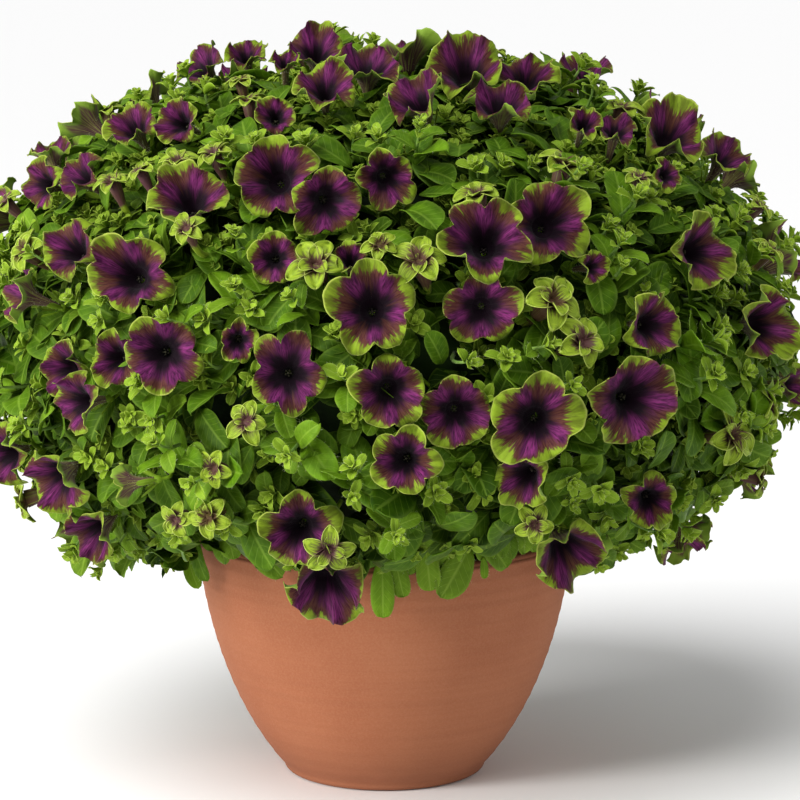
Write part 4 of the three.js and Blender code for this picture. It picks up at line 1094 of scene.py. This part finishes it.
# %% Place the small blooms
SMALL_BLOOM_MIN, SMALL_BLOOM_MAX = 22, 38
SMALL_SPOTS = 300
SMALL_SPACING = 78
SMALL_CLEARANCE = 48
SMALL_LOWEST_Z = MOUND_LOWEST_Z + 40
SMALL_TURN = 1.1
FRONT_SEEDS, BACK_SEEDS = 900, 930
small_places = [(seen_point(column, row), across, FRONT_SEEDS + i)
                for i, (column, row, across) in enumerate(FRONT_SMALL_BLOOMS)]
spin_cos, spin_sin = math.cos(SMALL_TURN), math.sin(SMALL_TURN)
for i in range(SMALL_SPOTS):
    plain = spread_direction(i, SMALL_SPOTS)
    direction = np.array([plain[0] * spin_cos - plain[1] * spin_sin,
                          plain[0] * spin_sin + plain[1] * spin_cos, plain[2]])
    seat = mound_point(direction)
    clear = (all(np.linalg.norm(bloom.centre - seat) > SMALL_CLEARANCE for bloom in blooms)
             and all(np.linalg.norm(place[0] - seat) > SMALL_SPACING for place in small_places))
    if clear and seat[2] > SMALL_LOWEST_Z and not on_the_front(seat, mound_normal(seat)):
        across = SMALL_BLOOM_MIN + (SMALL_BLOOM_MAX - SMALL_BLOOM_MIN) * pick(i, 7)
        small_places.append((seat, across, BACK_SEEDS + i))
print("small blooms:", len(small_places))


# %% Make the small blooms
def rolled_lobe(base, away, face, length, girth, tilt, tone, rows=11, columns=11):
    """A blunt lobe rolled into a trough that opens towards the front; its round end bends outwards."""
    side = unit(np.cross(face, away))
    share = 1 - (1 - np.linspace(0, 1, rows)[:, None]) ** 1.7
    roll = np.linspace(-1, 1, columns)[None, :]
    out = length * (0.35 * share + 0.60 * share ** 1.6)
    rise = length * (tilt * share - 0.45 * share ** 3.0 + 0.07 * np.sin(5 * roll + 9 * tone) * share ** 2)
    half = girth * (0.34 + 0.80 * share) * np.sqrt(np.clip(1.003 - share ** 5, 0, 1))
    round_angle = roll * (1.8 - 0.95 * share)
    aside = half * np.sin(round_angle)
    lifted = half * (1 - np.cos(round_angle)) * 0.75
    inward = 0.45 * lifted
    points = (base + (out - inward)[..., None] * away + aside[..., None] * side + (rise + lifted)[..., None] * face)
    ones = np.ones((rows, columns))
    rim = np.maximum(np.abs(roll), np.clip(share * 4.5 - 3.5, 0, 1) * ones)
    values = {"along": (share * ones).ravel(), "across": rim.ravel(), "tone": (tone * ones).ravel()}
    return points.reshape(-1, 3), grid_quads(rows, columns), values


SMALL_TUBE_SIDES = 11


def small_bloom(seat, across, number):
    """Five outer and three inner rolled lobes over a short tube, with a stalk into the bush."""
    normal = mound_normal(seat)
    lean = np.array([pick(number, 1) - 0.5, pick(number, 2) - 0.5, 0.6])
    face = unit(normal + 0.6 * lean)
    radius = across / 2
    side, other = cross_axes(face, 6 * pick(number, 3))
    base = seat - face * (radius * 0.45)
    parts = []
    for count, shift, size, tilt in ((5, 0.0, 1.0, 0.55), (3, 0.6, 0.58, 1.10)):
        for i in range(count):
            around = shift + 2 * math.pi * (i + 0.3 * pick(number, 30 + i)) / count
            away = math.cos(around) * side + math.sin(around) * other
            length = radius * size * (0.95 + 0.3 * pick(number, 40 + i))
            parts.append(rolled_lobe(base + away * 1.2, away, face, length, 0.54 * radius * size ** 0.6,
                                     tilt * (0.8 + 0.4 * pick(number, 70 + i)), pick(number, 80)))
    inner = mound_point(unit(seat - MOUND_CENTRE), CORE_INSET)
    path = np.vstack([base + face * 2.5, base - face * 0.5 * radius, base - face * 1.1 * radius,
                      bend(base - face * 1.6 * radius, -face, inner, 8)])
    tube_radii = [0.40 * radius, 0.32 * radius, 0.20 * radius] + list(np.linspace(2.2, 1.3, 8))
    rod_points, rod_quads = rod(path, tube_radii, SMALL_TUBE_SIDES)
    dusky_points = 4 * SMALL_TUBE_SIDES
    depth = np.concatenate([np.full(dusky_points, 0.35), np.full(len(rod_points) - dusky_points, 0.8)])
    around = np.tile(np.linspace(-0.8, 0.8, SMALL_TUBE_SIDES), len(rod_points) // SMALL_TUBE_SIDES)
    parts.append((rod_points, rod_quads, {"along": depth, "across": around, "tone": depth * 0 + pick(number, 80)}))
    return parts


def in_a_limb(seat):
    """Whether a small bloom would stand in the limb of a large one."""
    for bloom in blooms:
        away = seat - bloom.centre
        depth = float(np.dot(away, bloom.face))
        if abs(depth) < 9 and np.linalg.norm(away - depth * bloom.face) < bloom.across / 2 + 6:
            return True
    return False


IN_FRONT = 15
SMALL_LOBE_THICKNESS = 0.4
small_places = [(seat + mound_normal(seat) * IN_FRONT if in_a_limb(seat) else seat, across, number)
                for seat, across, number in small_places]
SMALL_GROUPS = 3
for group in range(SMALL_GROUPS):
    parts = [part for place in small_places[group::SMALL_GROUPS] for part in small_bloom(*place)]
    small = make_piece("small_green_blooms_%d" % (group + 1), parts, green_bloom, "foliage", "leafy_growth",
                       SMALL_LOBE_THICKNESS)
    print("small blooms:", len(small.data.polygons), "faces")

# %% [markdown]
# ## Keeping leaves off the blooms
#
# A leaf that crosses a petal looks wrong from every side. A bloom is close to a flat disc with a thin tube behind
# it, so it is enough to test a few points of each leaf against those two shapes. A finer test then looks into the
# hollow of each bloom, where even the edge of a leaf would show.

# %% Clearance test
bloom_faces = np.array([bloom.face for bloom in blooms])
bloom_radii = np.array([bloom.across / 2 for bloom in blooms])
bloom_tubes = np.array([bloom.tube for bloom in blooms])
LEAF_AHEAD = 46
DEEP_AHEAD = 12
LIMB_HALF = 7
FRONT_SHARE = 0.84


def meets_bloom(points, margin, ahead=LEAF_AHEAD):
    """For each point, whether it lies in a limb, in a tube, or in front of a limb by less than `ahead`."""
    points = np.asarray(points, dtype=float)
    hit = np.zeros(len(points), dtype=bool)
    for centre, face, radius, tube_length in zip(bloom_centres, bloom_faces, bloom_radii, bloom_tubes):
        away = points - centre
        depth = away @ face
        aside = np.linalg.norm(away - depth[:, None] * face, axis=1)
        funnel = -0.6 * radius * np.clip(1 - aside / radius, 0, 1) - LIMB_HALF
        in_limb = (aside < radius + margin) & (depth > funnel) & (depth < LIMB_HALF)
        in_front = (aside < FRONT_SHARE * radius + margin) & (depth >= LIMB_HALF) & (depth < ahead)
        behind = 5.5 + 0.45 * radius * np.clip(1 + depth / tube_length, 0, 1)
        in_tube = (aside < behind) & (depth > -tube_length) & (depth <= 0)
        hit |= in_limb | in_front | in_tube
    return hit


def in_a_throat(points):
    """Whether points stand in the hollow of a bloom."""
    hit = np.zeros(len(points), dtype=bool)
    for bloom in blooms:
        away = points - bloom.centre
        depth = away @ bloom.face
        aside = np.linalg.norm(away - depth[:, None] * bloom.face, axis=1)
        wall = np.interp(depth / bloom.depth, LIMB[:, 2], LIMB[:, 1]) * bloom.across / 2
        hit |= (depth < -1) & (depth > -bloom.depth) & (aside < wall - 1)
    return hit


# The hem as it is seen from the front, as places across and heights in the upright plane through the pot's axis. It
# rises towards both sides, sooner on the right, and is uneven over the pot. VIEW_SLOPE is how far the sight lines
# fall for each millimetre that they go back.
HEM = np.array([
    (-330, 262), (-292, 240), (-255, 215), (-246, 179), (-228, 141), (-200, 152), (-170, 150), (-150, 152),
    (-137, 170), (-126, 173), (-103, 173), (-90, 162), (-78, 152), (-64, 143), (-15, 143), (-4, 150), (4, 158),
    (43, 163), (73, 172), (86, 177), (104, 181), (123, 164), (140, 150), (160, 154), (173, 163), (213, 172),
    (232, 178), (252, 206), (296, 242), (330, 262)])
VIEW_SLOPE = 0.21
LEAF_POT_GAP = 7
LEAF_RIM_GAP = 3


def meets_pot(points):
    """Whether points are in the pot or hang below the uneven hem of the bush."""
    points = np.asarray(points, dtype=float)
    radius = np.hypot(points[:, 0], points[:, 1])
    around = np.arctan2(points[:, 1], points[:, 0])
    lowest = MOUND_LOWEST_Z + 2 + 9 * np.sin(4 * around + 0.9) + 6 * np.sin(11 * around + 2)
    seen_height = points[:, 2] + VIEW_SLOPE * np.minimum(points[:, 1], 0)
    hem = np.interp(points[:, 0], HEM[:, 0], HEM[:, 1])
    in_pot = (points[:, 2] < POT_HEIGHT + LEAF_RIM_GAP) & (radius < POT_WIDEST_RADIUS + LEAF_POT_GAP)
    return in_pot | (points[:, 2] < lowest) | (seen_height < hem)


# %% [markdown]
# ## Shoots
#
# The green of the bush is a crowd of shoot tips. Each has a tight rosette of small lime leaves at its end and larger,
# darker ones below, set one after the other by the golden angle, as a plant does. Shoots are spread evenly over the
# dome and then shifted a little in and out, which leaves the dark gaps that the photograph shows between them. Near a
# bloom that looks up they stay lower, so that its tube shows, and a shoot that would stand in a bloom ducks behind it.

# %% Grow the shoots
SHOOT_SPOTS = 1400
PROUD_REACH = 42
HIGH_SHARE = 0.22
DUCK_DEPTH = 26
looking_up = bloom_faces[:, 2] > 0.5
random = np.random.default_rng(7)
LEAF_FIELDS = ("roots", "alongs", "ups", "lengths", "widths", "folds", "arches", "youngs", "seeds", "painted_shades")
# From this depth on, leaves are darkened step by step over the next span: painted shade.
SHADE_FROM, SHADE_DEPTH = 16, 44
foliage = {key: [] for key in LEAF_FIELDS}
shoot_stems = []


def add_leaf(root, along, up, length, width, fold, arch, young, seed, depth):
    """Notes one leaf; the deeper it sits in the bush, the darker its finish, which is painted shade."""
    painted_shade = min(max((depth - SHADE_FROM) / SHADE_DEPTH, 0), 1)
    for key, value in zip(LEAF_FIELDS, (root, along, up, length, width, fold, arch, young, seed, painted_shade)):
        foliage[key].append(value)


def grow_shoot(tip, axis, number, vigour, depth):
    """A rosette of small leaves at the tip and a few large ones below it."""
    side, other = cross_axes(axis, random.uniform(0, 6.28))
    small_leaves = int(random.integers(7, 12))
    for i in range(small_leaves):
        around = i * GOLDEN_ANGLE
        share = i / small_leaves
        away = math.cos(around) * side + math.sin(around) * other
        length = vigour * (7 + 8 * share) * random.uniform(0.85, 1.2)
        steep = 2.2 - 1.9 * share
        add_leaf(tip - axis * (1 + 8 * share), away + axis * steep, axis - away * 0.2, length,
                 length * random.uniform(0.46, 0.58), random.uniform(0.25, 0.60), random.uniform(0.08, 0.30),
                 0.95 - 0.45 * share, number * 31 + i, depth)
    large_leaves = int(random.integers(3, 6))
    for i in range(large_leaves):
        around = (small_leaves + i) * GOLDEN_ANGLE + random.uniform(-0.3, 0.3)
        share = (i + 1) / large_leaves
        away = math.cos(around) * side + math.sin(around) * other
        length = vigour * (17 + 21 * share) * random.uniform(0.8, 1.2)
        steep = random.uniform(0.1, 0.8)
        add_leaf(tip - axis * (10 + 26 * share), away + axis * steep + UP * 0.1, axis + UP * 0.5 - away * 0.1, length,
                 length * random.uniform(0.50, 0.66), random.uniform(0.15, 0.45), random.uniform(0.08, 0.3),
                 0.30 * (1 - share) * random.uniform(0.4, 1.2), number * 31 + 12 + i, depth + 6 + 20 * share)
    shoot_stems.append((tip, axis))


for i in range(SHOOT_SPOTS):
    direction = spread_direction(i, SHOOT_SPOTS)
    direction = unit(direction + random.normal(0, 0.028, 3))
    seat = mound_point(direction)
    normal = mound_normal(seat)
    axis = unit(normal + UP * 0.35 + random.normal(0, 0.28, 3))
    depth = random.uniform(-12, 4) if random.random() < HIGH_SHARE else random.uniform(4, 34)
    tip = seat - normal * depth
    if (np.linalg.norm(bloom_centres[looking_up] - seat, axis=1) < PROUD_REACH).any():
        depth = max(depth, random.uniform(20, 32))
        tip = seat - normal * depth
    if meets_bloom([tip, tip - axis * 8], 5).any():
        depth += DUCK_DEPTH
        tip = seat - normal * depth
        if meets_bloom([tip], -4).any():
            continue
    if meets_pot([tip, tip - axis * 12]).any():
        continue
    grow_shoot(tip, axis, i, random.uniform(0.85, 1.2), depth)
print("shoots:", len(shoot_stems), "leaves before the clearance test:", len(foliage["roots"]))

# %% Hang the large leaves of the hem
HEM_LEAVES = 130
HEM_INSET = CORE_INSET - 14
HEM_DEPTH = 14
HEM_SEEDS, DEEP_SEEDS, HUNG_SEEDS = 50000, 60000, 70000
for i in range(HEM_LEAVES):
    around = 2 * math.pi * (i + random.uniform(-0.4, 0.4)) / HEM_LEAVES
    outward = np.array([math.cos(around), math.sin(around), 0.0])
    rise = random.uniform(188, 232) - MOUND_CENTRE_Z
    level = (-rise / (MOUND_HALF_HEIGHT - HEM_INSET)) ** MOUND_HEM_POWER
    foot = outward * (MOUND_RADIUS - HEM_INSET) * max(1 - level, 0.05) ** (1 / MOUND_HEM_POWER)
    foot[2] = rise + MOUND_CENTRE_Z
    aside = np.array([-outward[1], outward[0], 0.0]) * random.uniform(-0.5, 0.5)
    length = random.uniform(36, 56)
    add_leaf(foot, outward * random.uniform(0.15, 0.8) + aside - UP, outward + UP * 0.3, length,
             length * random.uniform(0.54, 0.66), random.uniform(0.1, 0.35), random.uniform(0.02, 0.16),
             random.uniform(0.0, 0.25), HEM_SEEDS + i, HEM_DEPTH)
print("with the hem:", len(foliage["roots"]), "leaves")

# %% Hang the leaves that the photograph shows over the pot
HUNG_RADIUS = 163
PIXEL_SIZE = 0.71
# Column and row of the leaf's foot, column and row of its tip, and its width, in pixels of the photograph. The
# first eleven are the ones seen over the clay; the others close the bush behind them.
HUNG_LEAVES = [
    (191, 526, 204, 582, 21), (186, 545, 196, 589, 18), (222, 520, 224, 565, 23), (245, 530, 281, 578, 28),
    (382, 556, 383, 620, 25), (394, 556, 404, 598, 21), (470, 545, 441, 599, 36), (425, 545, 431, 592, 26),
    (474, 522, 508, 569, 30), (483, 556, 485, 579, 9), (503, 526, 522, 550, 17), (206, 512, 212, 552, 22),
    (262, 520, 262, 560, 24), (350, 528, 353, 569, 26), (372, 524, 366, 564, 24), (398, 528, 399, 568, 24),
    (420, 524, 427, 563, 24), (447, 522, 453, 566, 26), (411, 540, 408, 576, 20), (461, 520, 471, 556, 22),
    (330, 520, 322, 558, 24), (441, 538, 438, 573, 20), (488, 514, 494, 548, 22), (520, 508, 528, 542, 22),
    (300, 515, 296, 556, 24), (541, 502, 549, 540, 22), (483, 526, 487, 562, 24), (497, 520, 500, 558, 24),
    (512, 514, 516, 552, 24), (234, 512, 236, 550, 24), (522, 518, 525, 555, 22), (534, 514, 538, 553, 22),
    (510, 530, 509, 561, 18), (228, 524, 233, 560, 24), (546, 512, 549, 550, 20),
]


def hung_point(column, row):
    """The point that a pixel shows on an upright cylinder a little outside the pot."""
    line = view_line(column, row)
    square, half, rest = (np.dot(line[:2], line[:2]), np.dot(VIEWER[:2], line[:2]),
                          np.dot(VIEWER[:2], VIEWER[:2]) - HUNG_RADIUS ** 2)
    return VIEWER + line * (-half - math.sqrt(half * half - square * rest)) / square


hung = []
for i, (foot_column, foot_row, tip_column, tip_row, width) in enumerate(HUNG_LEAVES):
    foot, tip = hung_point(foot_column, foot_row), hung_point(tip_column, tip_row)
    outward = unit(foot * np.array([1, 1, 0]))
    toward = unit((VIEWER - foot) * np.array([1, 1, 0]))
    length = np.linalg.norm(tip - foot)
    hung.append((foot, tip - foot, outward + toward * 0.9 + UP * 0.2, length, width * PIXEL_SIZE,
                 0.15 + 0.15 * pick(i, 90), 0.06 + 0.08 * pick(i, 91), 0.05 + 0.25 * pick(i, 92),
                 HUNG_SEEDS + i, HEM_DEPTH))
    shoot_stems.append((foot, unit(outward * 0.6 - UP)))
print("leaves hung over the pot:", len(hung))

# %% Fill in with older leaves deeper down
DEEP_LEAVES = 1300
DEEP_TRIES = 4
first_deep = len(foliage["roots"])
for i in range(DEEP_LEAVES):
    inset = random.uniform(24, CORE_INSET - 2)
    root = mound_point(unit(spread_direction(i, DEEP_LEAVES) + random.normal(0, 0.03, 3)), inset)
    normal = mound_normal(root)
    spin, lift, length = random.uniform(0, 6.28), random.uniform(0.1, 0.7), random.uniform(26, 42)
    width, fold, arch = length * random.uniform(0.52, 0.66), random.uniform(0.1, 0.4), random.uniform(0.05, 0.25)
    for turn in range(DEEP_TRIES):
        along, _ = cross_axes(normal, spin + 2 * math.pi * turn / DEEP_TRIES)
        add_leaf(root, along + normal * lift, normal + UP * 0.3, length, width, fold, arch, 0.05, DEEP_SEEDS + i,
                 inset)
print("deeper leaves, each in", DEEP_TRIES, "directions:", len(foliage["roots"]) - first_deep)

# %% Drop the leaves that cross blooms or the pot
fields = {key: np.array(value, dtype=float) for key, value in foliage.items()}
directions = fields["alongs"] / np.linalg.norm(fields["alongs"], axis=1)[:, None]
DEEP_INSIDE = 0.15
sideways = np.cross(fields["ups"], directions)
sideways /= np.linalg.norm(sideways, axis=1)[:, None]
ahead = np.where(fields["painted_shades"] > DEEP_INSIDE, DEEP_AHEAD, LEAF_AHEAD)
kept = np.ones(len(directions), dtype=bool)


def leaf_points(share, half=0.0):
    """A point of every leaf, at a share of its length and of its width."""
    return (fields["roots"] + directions * (fields["lengths"] * share)[:, None]
            + sideways * (fields["widths"] * half)[:, None])


for share in (0.3, 0.65, 1.0):
    kept &= ~meets_bloom(leaf_points(share), 1.0, ahead) & ~meets_pot(leaf_points(share))
for share in (0.2, 0.45, 0.7, 0.9):
    for half in (-0.45, 0.0, 0.45):
        kept &= ~in_a_throat(leaf_points(share, half))
free_turns = kept[first_deep:].reshape(DEEP_LEAVES, DEEP_TRIES)
kept[first_deep:] = (free_turns & (np.cumsum(free_turns, axis=1) == 1)).ravel()
fields = {key: value[kept] for key, value in fields.items()}
print("leaves kept:", int(kept.sum()))
for leaf in hung:
    add_leaf(*leaf)
for key in LEAF_FIELDS:
    fields[key] = np.concatenate([fields[key], np.array(foliage[key][-len(hung):], dtype=float)])

# %% [markdown]
# The leaves are far too many for one mesh, so they are shared out among pieces by the side of the bush that they are
# on. Small tip leaves get a coarser grid than large ones, because nobody sees them closer.

# %% Make the leaves
LEAF_THICKNESS = 0.32
SECTORS = 16
LARGE_LEAF = 16
LEAF_COLUMNS = 5
leaf_angle = np.arctan2(fields["roots"][:, 1], fields["roots"][:, 0])
sector_of = np.floor((leaf_angle + math.pi) / (2 * math.pi) * SECTORS).astype(int) % SECTORS
total_leaf_faces = 0
total_hairs = 0
for sector in range(SECTORS):
    sheets, needles = [], []
    for is_large, rows, hair_length in ((True, 10, 1.5), (False, 7, 1.2)):
        chosen = ((fields["lengths"] > LARGE_LEAF) == is_large) & (sector_of == sector)
        sheets.append(leaves(*[fields[key][chosen] for key in LEAF_FIELDS], rows=rows, columns=LEAF_COLUMNS))
        needles.append(edge_hairs(sheets[-1][0], rows, LEAF_COLUMNS, fields["painted_shades"][chosen] <= 0, hair_length))
    number = "%02d" % (sector + 1)
    piece = make_piece("leaves_" + number, sheets, leaf_green, "foliage", "leafy_growth", LEAF_THICKNESS)
    total_leaf_faces += len(piece.data.polygons)
    piece = make_piece("leaf_hairs_" + number, needles, fine_hair, "foliage", "leafy_growth")
    total_hairs += len(piece.data.polygons) // 3
print("leaf faces:", total_leaf_faces, "hairs:", total_hairs)

# %% [markdown]
# ## Stems and the inside
#
# Under the leaves, stems run out from the crowns to each shoot. Deep between them the bush is nearly black, because
# hardly any light gets in. A crumpled body with folds of leaf size stands for that tangle, well below the leaves; its
# near-black colour is painted shade.

# %% Stems
CORE_BOTTOM_Z = 202
CROWNS = 5
CROWN_CIRCLE_RADIUS = 68
stem_parts = []
for tip, axis in shoot_stems:
    inner = mound_point(unit(tip - MOUND_CENTRE), CORE_INSET + 8)
    rod_points, rod_quads = rod(bend(tip - axis * 2, -axis, inner, 7), np.linspace(0.9, 1.7, 7), 6)
    stem_parts.append((rod_points, rod_quads, {}))
for i in range(CROWNS):
    around = 2 * math.pi * (i + 0.25) / CROWNS
    spot = np.array([CROWN_CIRCLE_RADIUS * math.cos(around), CROWN_CIRCLE_RADIUS * math.sin(around), 0])
    path = np.stack([spot * (1 + 0.25 * s) + UP * (SOIL_TOP - 20 + 80 * s) for s in np.linspace(0, 1, 8)])
    rod_points, rod_quads = rod(path, np.linspace(7.5, 9, 8), 12)
    stem_parts.append((rod_points, rod_quads, {}))
make_piece("stems", stem_parts, stem_green, "foliage", "leafy_growth")
print("stems:", len(stem_parts))

# %% The inside, painted in shade
CORE_ROWS, CORE_COLUMNS = 90, 180
CORE_FOLD = 5
heights = np.linspace(1, -1, CORE_ROWS)
core_points = np.empty((CORE_ROWS, CORE_COLUMNS, 3))
for row, height in enumerate(heights):
    flat = math.sqrt(max(1 - height * height, 0))
    for column in range(CORE_COLUMNS):
        around = 2 * math.pi * column / CORE_COLUMNS
        direction = np.array([flat * math.cos(around), flat * math.sin(around), height])
        folds = (math.sin(17 * direction[0] + 5 * direction[2]) * math.cos(15 * direction[1])
                 + math.sin(21 * direction[2] + 9 * direction[1]))
        core_points[row, column] = mound_point(direction, CORE_INSET + 12 + CORE_FOLD * folds)
core_points[:, :, 2] = np.maximum(core_points[:, :, 2], CORE_BOTTOM_Z)
core_part = (core_points.reshape(-1, 3), grid_quads(CORE_ROWS, CORE_COLUMNS, closed=True), {})
core = make_piece("dense_inside_painted_shade", [core_part], inside_painted_shade, "foliage", "leafy_growth")
print("inside:", len(core.data.polygons), "faces")

# %% [markdown]
# ## Floor
#
# The photograph has a plain white ground, so the floor is a plain pale sheet that isn't part of the object.

# %% Floor
FLOOR_HALF = 16.0
FLOOR_DROP = 0.0005
corners = ((-1, -1), (1, -1), (1, 1), (-1, 1))
floor_mesh = bpy.data.meshes.new("floor")
floor_mesh.from_pydata([(FLOOR_HALF * x, FLOOR_HALF * y, -FLOOR_DROP) for x, y in corners], [], [(0, 1, 2, 3)])
floor = bpy.data.objects.new("floor", floor_mesh)
scene.collection.objects.link(floor)
floor_finish = Finish("floor_finish", 0.9, specular=0.1)
floor_finish.colour((0.90, 0.90, 0.90))
floor_mesh.materials.append(floor_finish.material)
